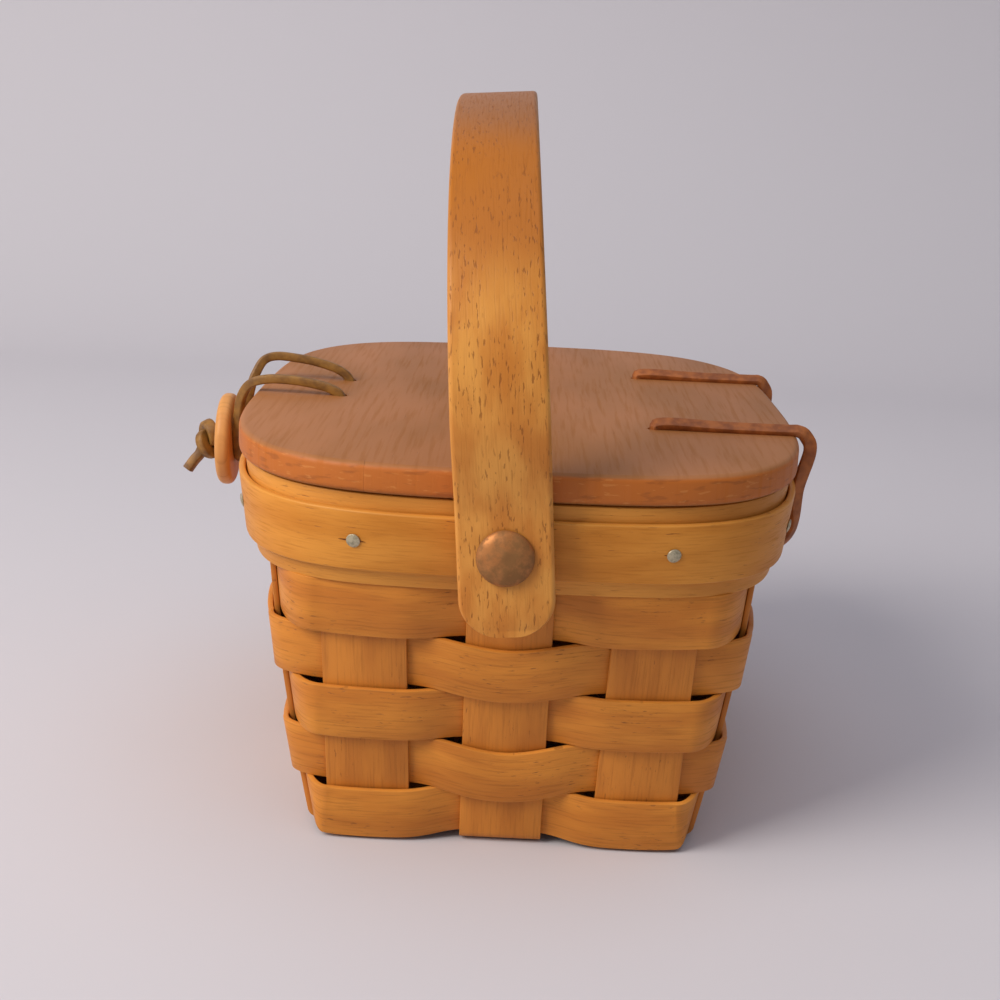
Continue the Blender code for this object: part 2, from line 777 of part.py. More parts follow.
def lid(collection, cutters):
    """The flat lid with rounded edges and four lace holes."""
    half_x, half_y = lid_sizes()
    curve = bpy.data.curves.new("lid_outline", "CURVE")
    curve.dimensions = "2D"
    curve.fill_mode = "BOTH"
    curve.extrude = LID_T / 2 - LID_EDGE_R
    curve.bevel_depth = LID_EDGE_R
    curve.bevel_resolution = 1
    curve.offset = -LID_EDGE_R
    outline = curve.splines.new("POLY")
    outline.points.add(LID_POINTS - 1)
    outline.use_cyclic_u = True
    for count in range(LID_POINTS):
        angle = math.tau * (count + 0.5) / LID_POINTS
        cosine, sine = math.cos(angle), math.sin(angle)
        x = math.copysign(abs(cosine) ** (2.0 / RIM_POWER), cosine) * half_x
        y = math.copysign(abs(sine) ** (2.0 / RIM_POWER), sine) * half_y
        outline.points[count].co = (x, y, 0.0, 1.0)
    board = bpy.data.objects.new("lid_outline", curve)
    collection.objects.link(board)
    made = mesh_from_curve("lid", board, collection, "lid_wood")
    made.location = (0.0, 0.0, LID_Z + LID_T / 2)
    bm = bmesh.new()
    for hole in lid_holes():
        start = hole + Vector((0.0, 0.0, LID_Z - DRILL_OVERRUN))
        end = hole + Vector((0.0, 0.0, LID_TOP_Z + DRILL_OVERRUN))
        add_rod(bm, start, end, LACE_HOLE_R, DRILL_SIDES)
    drill(made, as_cutter(object_from_bmesh("lid_drills", bm, cutters)))
    return made


def mesh_from_curve(name, source, collection, finish):
    """Turn a curve object into a welded mesh object and remove the curve."""
    bpy.context.view_layer.update()
    evaluated = source.evaluated_get(bpy.context.evaluated_depsgraph_get())
    mesh = bpy.data.meshes.new_from_object(evaluated)
    bm = bmesh.new()
    bm.from_mesh(mesh)
    bmesh.ops.remove_doubles(bm, verts=bm.verts, dist=WELD)
    bmesh.ops.recalc_face_normals(bm, faces=bm.faces)
    bm.to_mesh(mesh)
    bm.free()
    mesh.name = name
    mesh.materials.clear()
    mesh.materials.append(finish_for(finish))
    made = bpy.data.objects.new(name, mesh)
    made.matrix_world = source.matrix_world
    collection.objects.link(made)
    bpy.data.objects.remove(source, do_unlink=True)
    return made


def smooth_route(points, step):
    """Even points along a smooth curve through the points of a route."""
    dense = []
    ends = [points[0] * 2 - points[1]] + points + [points[-1] * 2 - points[-2]]
    for a, b, c, d in zip(ends, ends[1:], ends[2:], ends[3:]):
        count = max(4, int((c - b).length / step * 8))
        for k in range(count):
            t = k / count
            spot = b * 2 + (c - a) * t
            spot += (a * 2 - b * 5 + c * 4 - d) * (t * t)
            spot += (b * 3 - a - c * 3 + d) * (t * t * t)
            dense.append(spot / 2)
    dense.append(points[-1])
    lengths = [0.0]
    for one, two in zip(dense, dense[1:]):
        lengths.append(lengths[-1] + (two - one).length)
    total = max(2, round(lengths[-1] / step))
    route, at = [], 0
    for k in range(total + 1):
        goal = lengths[-1] * k / total
        while at < len(dense) - 2 and lengths[at + 1] < goal:
            at += 1
        span = lengths[at + 1] - lengths[at]
        route.append(dense[at].lerp(dense[at + 1], (goal - lengths[at]) / span if span else 0.0))
    return route


def lace(name, points, knots, finish, collection):
    """A leather lace through route points, thickened into a ball at each knot.

    The knots are (centre, radius) pairs.
    """
    route = smooth_route(points, LACE_STEP)
    curve = bpy.data.curves.new(name, "CURVE")
    curve.dimensions = "3D"
    curve.bevel_depth = LACE_R
    curve.bevel_resolution = 2
    curve.use_fill_caps = True
    spline = curve.splines.new("POLY")
    spline.points.add(len(route) - 1)
    for point, spot in zip(spline.points, route):
        point.co = (*spot, 1.0)
        widest = LACE_R
        for centre, radius in knots:
            reach = radius * radius - (spot - centre).length_squared
            widest = max(widest, math.sqrt(max(reach, 0.0)))
        point.radius = widest / LACE_R
    curve.materials.append(finish_for(finish))
    made = bpy.data.objects.new(name, curve)
    collection.objects.link(made)
    return made


def trim_outer_x(y, z):
    """Distance from the middle to the outer face of the trim strip, on the long sides."""
    spot, facing = oval_point("right", y, z)
    return (spot + facing * TRIM_OUTER).x


def hinge_lace(name, sign, collection):
    """A lace that ties the lid to the rim: knot, lid hole, over the edge, in under the bands."""
    y = sign * HINGE_LACE_Y
    half_x, _ = lid_sizes()
    hole_x = lid_holes()[0].x
    edge_x = half_x
    top = LID_TOP_Z + TOUCH_GAP + LACE_R
    under = LID_Z - TOUCH_GAP - KNOT_R
    out = LACE_R + TOUCH_GAP + LACE_SLACK
    slot_z = hinge_slot_z()
    inner_face = wall_sizes(slot_z)[0] + INNER_BAND_INNER
    inside = inner_face - TOUCH_GAP - KNOT_R
    trim_top = TRIM_Z + TRIM_H
    points = [
        Vector((hole_x, y, under - KNOT_R - LACE_END)),
        Vector((hole_x, y, under)),
        Vector((hole_x, y, LID_TOP_Z)),
        Vector((hole_x + LACE_BEND, y, top + LACE_SLACK)),
        Vector(((hole_x + edge_x) / 2, y, top)),
        Vector((edge_x - LACE_BEND, y, top)),
        Vector((edge_x + HINGE_BULGE, y, LID_TOP_Z - LACE_BEND)),
        Vector((edge_x + HINGE_BULGE, y, LID_Z + LACE_BEND / 2)),
        Vector((trim_outer_x(y, trim_top) + out, y, trim_top)),
        Vector((trim_outer_x(y, TRIM_Z) + out, y, TRIM_Z)),
        Vector((trim_outer_x(y, slot_z) - TRIM_T, y, slot_z)),
        Vector((inside, y, slot_z)),
        Vector((inside - KNOT_R - LACE_END, y, slot_z)),
    ]
    knots = [(points[1], KNOT_R), (points[-2], KNOT_R)]
    return lace(name, points, knots, "lace_leather", collection)


def hinge_slot_z():
    """Height at which a hinge lace passes in between the bands and the top weaver."""
    return WIDE_BAND_Z - BAND_OVER_ROW / 2


def knob_seat_x():
    """Distance from the middle to the inner end of the knob's neck."""
    top = KNOB_Z + NECK_R
    return wall_sizes(top)[0] + TRIM_OUTER + TOUCH_GAP


def knob(collection):
    """The turned knob: a disc on a narrow neck, bored for its lace."""
    seat = knob_seat_x()
    back = seat + NECK_LENGTH
    front = back + KNOB_T
    inner = KNOB_R - KNOB_EDGE_R
    profile = [(LACE_HOLE_R, front)]
    profile += arc_profile(inner, front - KNOB_EDGE_R, KNOB_EDGE_R, 90.0, 0.0)
    profile += arc_profile(inner, back + KNOB_EDGE_R, KNOB_EDGE_R, 0.0, -90.0)
    profile += [(NECK_R, back), (NECK_R, seat), (LACE_HOLE_R, seat), (LACE_HOLE_R, front)]
    place = Vector((0.0, 0.0, KNOB_Z))
    return turned("knob", profile, place, Vector((-1.0, 0.0, 0.0)), TURNED_SIDES,
                  "knob_wood", collection)


def knob_lace(collection):
    """The lace that holds the knob: knot inside, through the rim and knob, knot outside."""
    inner_face = wall_sizes(KNOB_Z)[0] + INNER_BAND_INNER
    inside = inner_face - WALL_FLARE_X * KNOT_R - TOUCH_GAP - KNOT_R
    front = knob_seat_x() + NECK_LENGTH + KNOB_T
    outside = front + TOUCH_GAP + KNOB_KNOT_R
    points = [
        Vector((-(inside - KNOT_R - LACE_END), 0.0, KNOB_Z)),
        Vector((-inside, 0.0, KNOB_Z)),
        Vector((-(inside + front) / 2, 0.0, KNOB_Z)),
        Vector((-front, 0.0, KNOB_Z)),
        Vector((-outside, 0.0, KNOB_Z)),
        Vector((-(outside + TAIL_OUT / 2), 0.0, KNOB_Z - TAIL_DROP / 2)),
        Vector((-(outside + TAIL_OUT), 0.0, KNOB_Z - TAIL_DROP)),
    ]
    knots = [(points[1], KNOT_R), (points[4], KNOB_KNOT_R)]
    return lace("knob_lace", points, knots, "loop_leather", collection)


def loop_lace(collection):
    """The lace loop on the lid that hooks behind the knob's disc."""
    half_x, _ = lid_sizes()
    hole_x = lid_holes()[2].x
    top = LID_TOP_Z + TOUCH_GAP + LACE_R
    under = LID_Z - TOUCH_GAP - KNOT_R
    hang_x = -(knob_seat_x() + NECK_LENGTH - TOUCH_GAP - LACE_SLACK - LACE_R)
    grip = NECK_R + TOUCH_GAP + LACE_R
    half = [
        Vector((hole_x, -LOOP_HALF_SPREAD, under - KNOT_R - LACE_END)),
        Vector((hole_x, -LOOP_HALF_SPREAD, under)),
        Vector((hole_x, -LOOP_HALF_SPREAD, LID_TOP_Z)),
        Vector((hole_x - LACE_BEND, -LOOP_HALF_SPREAD, top + LACE_SLACK)),
        Vector(((hole_x - half_x) / 2, -LOOP_HALF_SPREAD, top + LOOP_ARCH)),
        Vector((-half_x, -(LOOP_HALF_SPREAD + grip) / 2, top + LOOP_ARCH / 2)),
        Vector((hang_x, -grip - LACE_R, LID_Z)),
        Vector((hang_x, -grip, KNOB_Z)),
    ]
    lowest = Vector((hang_x, 0.0, KNOB_Z - grip))
    low_side = grip * math.sqrt(0.5)
    half.append(Vector((hang_x, -low_side, KNOB_Z - low_side)))
    mirrored = [Vector((point.x, -point.y, point.z)) for point in half[::-1]]
    points = half + [lowest] + mirrored
    knots = [(points[1], KNOT_R), (points[-2], KNOT_R)]
    return lace("loop_lace", points, knots, "loop_leather", collection)


def lace_drills(collection):
    """Cutters for the knob lace's hole and the two hinge lace slots in the rim."""
    bm = bmesh.new()
    inner = wall_sizes(WIDE_BAND_Z)[0] + INNER_BAND_INNER - DRILL_OVERRUN
    outer = wall_sizes(RIM_Z)[0] + TRIM_OUTER + DRILL_OVERRUN
    add_rod(bm, Vector((-outer, 0.0, KNOB_Z)), Vector((-inner, 0.0, KNOB_Z)),
            LACE_HOLE_R, DRILL_SIDES)
    for sign in (-1.0, 1.0):
        start = Vector((inner, sign * HINGE_LACE_Y, hinge_slot_z()))
        end = Vector((outer, sign * HINGE_LACE_Y, hinge_slot_z()))
        add_rod(bm, start, end, LACE_HOLE_R, DRILL_SIDES)
    return as_cutter(object_from_bmesh("lace_drills", bm, collection))


def shade_round(thing):
    """Shade the round pieces smooth and keep their edges sharp."""
    if thing.type == "MESH":
        thing.data.shade_smooth()
        thing.data.set_sharp_from_angle(angle=math.radians(35.0))


def main():
    """Build the basket."""
    clear_scene()
    basket = new_collection("lidded_splint_basket")
    cutters = new_collection("cutters")
    tack_cuts = tack_drills(cutters)
    rivet_cuts = rivet_drills(cutters)
    lace_cuts = lace_drills(cutters)

    for index, x in enumerate(CROSS_X):
        strip = upright_strip(f"upsplint_cross_{index + 1}", "Y", x, index, basket)
        drill(strip, rivet_cuts if index == CROSS_COUNT // 2 else tack_cuts)
    for index, y in enumerate(LONG_Y):
        drill(upright_strip(f"upsplint_long_{index + 1}", "X", y, index, basket), tack_cuts)
    for row in range(ROW_COUNT):
        ring = weaver_row(f"weaver_row_{ROW_COUNT - row}", row, basket)
        if row == ROW_COUNT - 1:
            drill(ring, lace_cuts)

    trim_top = TRIM_Z + TRIM_H
    bands = [
        band_ring("inner_band", (INNER_BAND_Z, PIVOT_Z, INNER_BAND_Z + INNER_BAND_H),
                  INNER_BAND_INNER + INNER_BAND_T / 2, INNER_BAND_T, "band", basket),
        band_ring("wide_band", (WIDE_BAND_Z, TRIM_Z, trim_top, WIDE_BAND_TOP_Z),
                  BAND_INNER + WIDE_BAND_T / 2, WIDE_BAND_T, "band", basket),
        band_ring("trim_strip", (TRIM_Z, trim_top),
                  TRIM_INNER + TRIM_T / 2, TRIM_T, "band", basket),
    ]
    for band in bands:
        for cuts in (tack_cuts, rivet_cuts, lace_cuts):
            drill(band, cuts)

    for name, spot, facing in tack_sites():
        shade_round(rim_tack(name, spot, facing, basket))
    handle(basket, rivet_cuts)
    for name, sign in (("near", -1.0), ("far", 1.0)):
        shade_round(rivet("rivet_" + name, sign, basket))
        shade_round(burr("burr_" + name, sign, basket))
        hinge_lace("hinge_lace_" + name, sign, basket)
    lid(basket, cutters)
    loop_lace(basket)
    shade_round(knob(basket))
    knob_lace(basket)


if __name__ == "__main__":
    main()
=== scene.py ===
"""Looks of a small lidded splint basket with a bentwood handle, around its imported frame.

One Geometry Nodes tree sweeps every splint, band, handle and lace along its own path,
and a second one sets the rim's tacks. The lid, rivets and knob are turned or lofted
meshes. Lengths are in metres, Z is up, and the short end with the near rivet faces -Y.
"""

from __future__ import annotations

import logging
import math
from collections.abc import Callable, Sequence
from dataclasses import dataclass
from enum import Enum

import bmesh
import bpy
from mathutils import Matrix, Vector, noise
from mathutils.bvhtree import BVHTree
from mathutils.interpolate import poly_3d_calc

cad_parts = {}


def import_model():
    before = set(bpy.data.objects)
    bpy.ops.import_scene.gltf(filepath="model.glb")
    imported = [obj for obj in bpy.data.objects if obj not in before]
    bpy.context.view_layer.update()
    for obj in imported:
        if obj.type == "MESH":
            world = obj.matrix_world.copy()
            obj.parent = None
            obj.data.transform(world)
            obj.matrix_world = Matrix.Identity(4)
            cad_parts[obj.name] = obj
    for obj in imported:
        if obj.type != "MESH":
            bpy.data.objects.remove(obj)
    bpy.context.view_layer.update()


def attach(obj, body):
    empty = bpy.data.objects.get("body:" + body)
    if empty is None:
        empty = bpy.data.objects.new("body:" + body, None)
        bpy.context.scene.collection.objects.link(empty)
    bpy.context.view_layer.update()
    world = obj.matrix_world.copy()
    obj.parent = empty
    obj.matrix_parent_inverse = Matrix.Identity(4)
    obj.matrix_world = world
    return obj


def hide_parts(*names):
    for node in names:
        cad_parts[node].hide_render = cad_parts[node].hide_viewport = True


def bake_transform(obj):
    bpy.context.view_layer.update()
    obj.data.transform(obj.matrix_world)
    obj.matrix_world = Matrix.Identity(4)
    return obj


LOG = logging.getLogger("basket")
MM = 0.001
DEGREE = math.pi / 180.0
WELD = 0.001 * MM
TOUCH_GAP = 0.3 * MM
SHARP_ANGLE = 24.0 * DEGREE
DENT_MM = 2.0
RIGHT = Vector((1.0, 0.0, 0.0))
UP = Vector((0.0, 0.0, 1.0))
PIVOT = (-1.5 * MM, 0.0, 72.2 * MM)
STRIP_MARKS = ("along", "across", "edge", "seed")

Tree = bpy.types.NodeTree
Socket = bpy.types.NodeSocket
Piece = bpy.types.Object
Solid = bmesh.types.BMesh
Place = Callable[[float, float], Vector]


def linear(hex_code: str) -> tuple[float, float, float, float]:
    """Turn an sRGB hex code into a linear colour.

    Args:
        hex_code: Six hex digits, with or without a leading #.

    Returns:
        The linear red, green and blue, and an alpha of 1.
    """
    digits = hex_code.lstrip("#")
    shares = [int(digits[i:i + 2], 16) / 255.0 for i in (0, 2, 4)]
    values = [s / 12.92 if s <= 0.04045 else ((s + 0.055) / 1.055) ** 2.4 for s in shares]
    return (*values, 1.0)


def feed(tree: Tree, node: bpy.types.Node, inputs: dict) -> None:
    """Link sockets to a node's inputs and set values, by input name or number."""
    for key, value in inputs.items():
        if isinstance(value, Socket):
            tree.links.new(value, node.inputs[key])
        else:
            node.inputs[key].default_value = value


def add_node(tree: Tree, kind: str, inputs: dict | None = None, **settings) -> bpy.types.Node:
    """Add a node with its settings, and link or set its inputs.

    Args:
        tree: The node tree.
        kind: The node's type name.
        inputs: Sockets to link and values to set, by input name or number.
        **settings: Properties of the node itself.

    Returns:
        The new node.
    """
    node = tree.nodes.new(kind)
    for key, value in settings.items():
        setattr(node, key, value)
    feed(tree, node, inputs or {})
    return node


def maths(tree: Tree, operation: str, one: Socket | float, two: Socket | float = 0.0) -> Socket:
    """Add an operation on one or two numbers."""
    return add_node(tree, "ShaderNodeMath", {0: one, 1: two}, operation=operation).outputs[0]


def times(tree: Tree, one: Socket | float, two: Socket | float) -> Socket:
    """Add a product."""
    return maths(tree, "MULTIPLY", one, two)


def vector_maths(tree: Tree, operation: str, one: Socket, two: Socket | tuple) -> Socket:
    """Add an operation on two vectors."""
    return add_node(tree, "ShaderNodeVectorMath", {0: one, 1: two}, operation=operation).outputs[0]


def ranged(
    tree: Tree, value: Socket, source: tuple[float, float] = (0.0, 1.0),
    target: tuple[float, float] = (0.0, 1.0), curve: str = "LINEAR",
) -> Socket:
    """Add a change of range.

    Args:
        tree: The node tree.
        value: The value to change.
        source: The levels that become the target's two ends.
        target: The ends that the result is held between.
        curve: How the result runs from one end to the other.

    Returns:
        The changed value.
    """
    levels = {"From Min": source[0], "From Max": source[1], "To Min": target[0],
              "To Max": target[1]}
    return add_node(
        tree, "ShaderNodeMapRange", {"Value": value, **levels}, interpolation_type=curve
    ).outputs[0]


def noise_at(
    tree: Tree, place: Socket, scale: float, detail: float, roughness: float = 0.5
) -> Socket:
    """Add a noise, around 0.5."""
    return add_node(
        tree, "ShaderNodeTexNoise",
        {"Vector": place, "Scale": scale, "Detail": detail, "Roughness": roughness}).outputs[0]


def mixed(
    tree: Tree, share: Socket, ground: Socket | tuple, over: Socket | tuple
) -> Socket:
    """Add a mix of two colours by a share."""
    return add_node(
        tree, "ShaderNodeMix", {0: share, 6: ground, 7: over}, data_type="RGBA").outputs[2]


def bumped(tree: Tree, height: Socket, depth: float) -> Socket:
    """Add a relief of a depth in metres."""
    return add_node(tree, "ShaderNodeBump", {"Height": height, "Distance": depth}).outputs[0]


def object_place(tree: Tree) -> Socket:
    """Add the place in the object's own axes."""
    return add_node(tree, "ShaderNodeTexCoord").outputs["Object"]


def split_axes(tree: Tree, vector: Socket) -> bpy.types.bpy_prop_collection:
    """Add the split of a vector into X, Y and Z."""
    return add_node(tree, "ShaderNodeSeparateXYZ", {0: vector}).outputs


def attribute(tree: Tree, name: str) -> Socket:
    """Add a piece's own attribute to its material."""
    return add_node(tree, "ShaderNodeAttribute", attribute_name=name).outputs["Fac"]


def per_size(size_mm: float) -> float:
    """Frequency, per metre, of a pattern whose features are about this many mm."""
    return 1.0 / (size_mm * MM)


def pattern(
    tree: Tree, place: Socket, size_mm: tuple[float, float], cut: tuple[float, float],
    detail: float = 3.0, layer: float = 1.0,
) -> Socket:
    """Add a stretched noise, cut between two levels.

    Args:
        tree: The material's node tree.
        place: The grain coordinates.
        size_mm: Size of the features along and across the grain.
        cut: Noise levels that become 0 and 1.
        detail: Octaves of the noise.
        layer: Frequency through the third coordinate.

    Returns:
        A value from 0 to 1.
    """
    scale = (per_size(size_mm[0]), per_size(size_mm[1]), layer)
    stretched = vector_maths(tree, "MULTIPLY", place, scale)
    return ranged(tree, noise_at(tree, stretched, 1.0, detail), cut, curve="SMOOTHSTEP")


def smooth_share(share: float) -> float:
    """Ease a share from 0 to 1 with level ends."""
    held = min(max(share, 0.0), 1.0)
    return held * held * (3.0 - 2.0 * held)


class Grain(Enum):
    """Where a finish finds its place along, across and through the grain.

    A strip carries it as marks. A board's grain runs along Y, and a turned piece's
    along Z, across its axis.
    """

    STRIP = ("along", "across", "seed")
    BOARD = (1, 0, 2)
    TURNED = (2, 1, 0)


@dataclass(frozen=True)
class Finish:
    """A material, made from the inputs that each kind of finish works out."""

    name: str

    def looks(self, tree: Tree) -> dict[str, Socket | float]:
        """Inputs of the shader, by name."""
        raise NotImplementedError

    def build(self) -> bpy.types.Material:
        """Make the material."""
        material = bpy.data.materials.new(self.name)
        material.use_nodes = True
        tree = material.node_tree
        feed(tree, tree.nodes["Principled BSDF"], self.looks(tree))
        return material


@dataclass(frozen=True)
class Specks:
    """Spots of one tone: their size, depth, noise levels and strength."""

    tone: str
    size_mm: float
    depth_mm: float
    cut: tuple[float, float]
    share: float


@dataclass(frozen=True)
class WoodFinish(Finish):
    """Stained wood under a thin satin varnish.

    The stain collects in the pores, so the eye sees short dark flecks along the grain
    on a warm ground that drifts between two tones. Each cut is the pair of noise levels
    between which a mark fades in.
    """

    light: str
    deep: str
    fleck: str
    edge: str = ""
    grain: Grain = Grain.STRIP
    tone_mm: tuple[float, float] = (38.0, 9.0)
    tone_cut: tuple[float, float] = (0.32, 0.68)
    fibre_mm: tuple[float, float] = (7.0, 0.42)
    fibre_cut: tuple[float, float] = (0.45, 0.75)
    fibre_detail: float = 4.0
    fibre_share: float = 0.30
    fibre_depth: float = -0.4
    fleck_mm: tuple[float, float] = (2.6, 0.5)
    fleck_cut: float = 0.64
    fleck_fade: float = 0.07
    fleck_share: float = 0.75
    patch_mm: tuple[float, float] = (26.0, 11.0)
    patch_cut: tuple[float, float] = (0.42, 0.60)
    # Band at a strip's very edges that is painted paler: partly wear, partly a painted highlight
    # on the rounded edge.
    edge_wear_and_highlight: tuple[float, float] = (0.93, 1.0)
    edge_wear_and_highlight_share: float = 0.3
    roughness: float = 0.52
    smoother: float = 0.06
    rougher: float = 0.12
    relief: float = 0.05 * MM
    gloss: float = 0.3
    zones: tuple[tuple[float, float, str], ...] = ()
    sawn: str = ""
    sawn_specks: tuple[Specks, ...] = ()
    sawn_slope: tuple[float, float] = (0.45, 0.80)

    def coordinates(self, tree: Tree) -> Socket:
        """Add the nodes that give (along, across, layer) in metres."""
        if self.grain is Grain.STRIP:
            parts = [attribute(tree, name) for name in self.grain.value]
        else:
            axes = split_axes(tree, object_place(tree))
            parts = [axes[number] for number in self.grain.value]
        return add_node(tree, "ShaderNodeCombineXYZ", dict(enumerate(parts))).outputs[0]

    def colour(self, tree: Tree, place: Socket, fibre: Socket, flecks: Socket) -> Socket:
        """Add the nodes of the wood's colour."""
        tone = pattern(tree, place, self.tone_mm, self.tone_cut)
        made = mixed(tree, tone, linear(self.light), linear(self.deep))
        # Tones by height; on the handle the top tone is a painted grazing reflection.
        for low, high, zone_tone in self.zones:
            height = split_axes(tree, object_place(tree))[2]
            risen = ranged(tree, height, (low, high), curve="SMOOTHSTEP")
            made = mixed(tree, risen, made, linear(zone_tone))
        for marks, share in ((fibre, self.fibre_share), (flecks, self.fleck_share)):
            made = mixed(tree, times(tree, marks, share), made, linear(self.fleck))
        if self.sawn:
            made = self.sawn_edge(tree, made)
        # Paler edges: partly wear, partly a painted highlight where the rounded edge catches the
        # light.
        if self.edge:
            worn = ranged(tree, attribute(tree, "edge"), self.edge_wear_and_highlight)
            made = mixed(tree, times(tree, worn, self.edge_wear_and_highlight_share), made, linear(self.edge))
        return made

    def sawn_edge(self, tree: Tree, face: Socket) -> Socket:
        """Give the upright faces of a board a warm ground, dark nicks and pale chips."""
        source = add_node(tree, "ShaderNodeTexCoord").outputs
        level = maths(tree, "ABSOLUTE", split_axes(tree, source["Normal"])[2])
        made = linear(self.sawn)
        for specks in self.sawn_specks:
            spots = pattern(
                tree, source["Object"], (specks.size_mm, specks.size_mm), specks.cut,
                layer=per_size(specks.depth_mm))
            made = mixed(tree, times(tree, spots, specks.share), made, linear(specks.tone))
        return mixed(tree, ranged(tree, level, self.sawn_slope), made, face)

    def looks(self, tree: Tree) -> dict[str, Socket | float]:
        """Inputs of the shader, by name."""
        place = self.coordinates(tree)
        fibre = pattern(tree, place, self.fibre_mm, self.fibre_cut, self.fibre_detail)
        fleck_cut = (self.fleck_cut, self.fleck_cut + self.fleck_fade)
        marks = pattern(tree, place, self.fleck_mm, fleck_cut)
        flecks = times(tree, marks, pattern(tree, place, self.patch_mm, self.patch_cut))
        sheen = (self.roughness - self.smoother, self.roughness + self.rougher)
        sunk = maths(tree, "SUBTRACT", times(tree, fibre, self.fibre_depth), flecks)
        return {
            "Base Color": self.colour(tree, place, fibre, flecks),
            "Roughness": ranged(tree, fibre, target=sheen),
            "Specular IOR Level": self.gloss,
            "Normal": bumped(tree, sunk, self.relief),
        }


@dataclass(frozen=True)
class LeatherFinish(Finish):
    """Square-cut vegetable-tanned lace: soft sheen, fine pores and darker creases."""

    light: str
    deep: str
    roughness: float = 0.55
    smoother: float = 0.1
    rougher: float = 0.15
    pore_mm: float = 0.5
    pore_detail: float = 3.0
    crease_mm: float = 2.4
    crease_detail: float = 2.0
    crease_cut: tuple[float, float] = (0.35, 0.65)
    relief: float = 0.06 * MM

    def looks(self, tree: Tree) -> dict[str, Socket | float]:
        """Inputs of the shader, by name."""
        place = object_place(tree)
        pores = noise_at(tree, place, per_size(self.pore_mm), self.pore_detail)
        creases = noise_at(tree, place, per_size(self.crease_mm), self.crease_detail)
        share = ranged(tree, creases, self.crease_cut)
        sheen = (self.roughness - self.smoother, self.roughness + self.rougher)
        return {
            "Base Color": mixed(tree, share, linear(self.light), linear(self.deep)),
            "Roughness": ranged(tree, pores, target=sheen),
            "Normal": bumped(tree, pores, self.relief),
        }


@dataclass(frozen=True)
class MetalFinish(Finish):
    """Plain metal under patches of dull tarnish."""

    bright: str
    tarnish: str
    patch_mm: float
    patch_cut: tuple[float, float]
    roughness: float
    shine: float
    patch_detail: float = 5.0
    patch_roughness: float = 0.62
    tarnish_shine: float = 0.15
    tarnish_roughness: float = 0.8
    relief: float = 0.04 * MM

    def looks(self, tree: Tree) -> dict[str, Socket | float]:
        """Inputs of the shader, by name."""
        patches = noise_at(
            tree, object_place(tree), per_size(self.patch_mm), self.patch_detail,
            self.patch_roughness)
        share = ranged(tree, patches, self.patch_cut)
        return {
            "Base Color": mixed(tree, share, linear(self.bright), linear(self.tarnish)),
            "Metallic": ranged(tree, share, target=(self.shine, self.tarnish_shine)),
            "Roughness": ranged(tree, share, target=(self.roughness, self.tarnish_roughness)),
            "Normal": bumped(tree, patches, self.relief),
        }


# The last tone of each strip wood below paints its edges paler: partly wear, partly a painted
# highlight.
# Weavers: orange brown, with fine dark fibres and short flecks.
SPLINT = WoodFinish(
    "maple_splint", "#D6872C", "#BC6C1C", "#7E4210", "#E0A050",
    tone_mm=(30.0, 7.0), fibre_mm=(9.0, 0.5), fibre_share=0.38, fleck_cut=0.62,
)
# Uprights: a little darker than the weavers, with broader grain.
STAVE = WoodFinish(
    "maple_stave", "#CE7E28", "#B26418", "#7A3E0E", "#D8954A",
    tone_mm=(34.0, 8.0), fibre_mm=(11.0, 0.6), fibre_share=0.34, fleck_cut=0.64,
)
# Rim bands: the lightest splint, with long thin flecks.
BAND = WoodFinish(
    "maple_band", "#D88F34", "#C27820", "#8C4C0E", "#E6AA58",
    fibre_share=0.26, fleck_mm=(4.0, 0.45),
)
# Handle: golden legs under many short flecks, deeper over the bend, and browner on top:
# the browner top is a painted grazing reflection on the top of the arch.
HANDLE_WOOD = WoodFinish(
    "bent_maple", "#DA9744", "#C2782C", "#7C420E", "#E4A85C",
    tone_mm=(16.0, 7.0), fibre_share=0.16, fleck_mm=(2.3, 0.55), fleck_cut=0.585,
    fleck_share=0.62, patch_cut=(0.38, 0.54), roughness=0.50,
    # Tones by height: the top tone's greyer brown is a painted grazing reflection.
    zones=((116.0 * MM, 136.0 * MM, "#AC6410"), (147.0 * MM, 156.0 * MM, "#965D2A")),
)
# Lid: a dull brown face with faint grain, and a warmer sawn edge, nicked and chipped.
LID_WOOD = WoodFinish(
    "flat_board", "#AA6E3E", "#965F2A", "#6E421C", grain=Grain.BOARD,
    tone_mm=(70.0, 24.0), fibre_mm=(22.0, 1.2), fleck_mm=(4.5, 0.5), fleck_cut=0.68,
    fleck_share=0.45, fibre_share=0.14, roughness=0.60, gloss=0.4, sawn="#B8651D",
    sawn_specks=(
        Specks("#84440F", 5.0, 1.0, (0.54, 0.66), 0.42),
        Specks("#D08A44", 3.2, 0.7, (0.60, 0.68), 0.4),
    ),
)
# Knob: pale and even, with few flecks.
KNOB_WOOD = WoodFinish(
    "turned_birch", "#D89A58", "#C98442", "#8A5022", grain=Grain.TURNED,
    fibre_mm=(6.0, 0.6), fleck_cut=0.72, fibre_share=0.25, roughness=0.50,
)
# Splits beside the tacks: thin dark lines.
SPLIT_WOOD = WoodFinish("split_edge", "#6B3410", "#5A2A0C", "#3E1B06")
# Hinge laces: tan, darker in the creases.
LACE_LEATHER = LeatherFinish("tan_lace", "#AA6128", "#84461A")
# Loop and knob lace: the same leather, more olive and a little smoother.
LOOP_LEATHER = LeatherFinish("olive_lace", "#966A2A", "#704A1A", roughness=0.50)
# Rivets: dull copper, brown where it has tarnished.
COPPER = MetalFinish("old_copper", "#B07440", "#8A5E30", 2.6, (0.40, 0.58), 0.50, 0.6)
# Tacks: pale grey heads with darker spots.
TACK_STEEL = MetalFinish("dull_steel", "#BDB296", "#878069", 0.8, (0.45, 0.70), 0.44, 0.8)


@dataclass(frozen=True)
class Station:
    """A spot on a ring.

    Its place takes a height and the ring's swing, its turn is a whole number of half
    turns at each upright's middle, and its weight is its own share of the swing.
    """

    place: Place
    turn: float
    weight: float


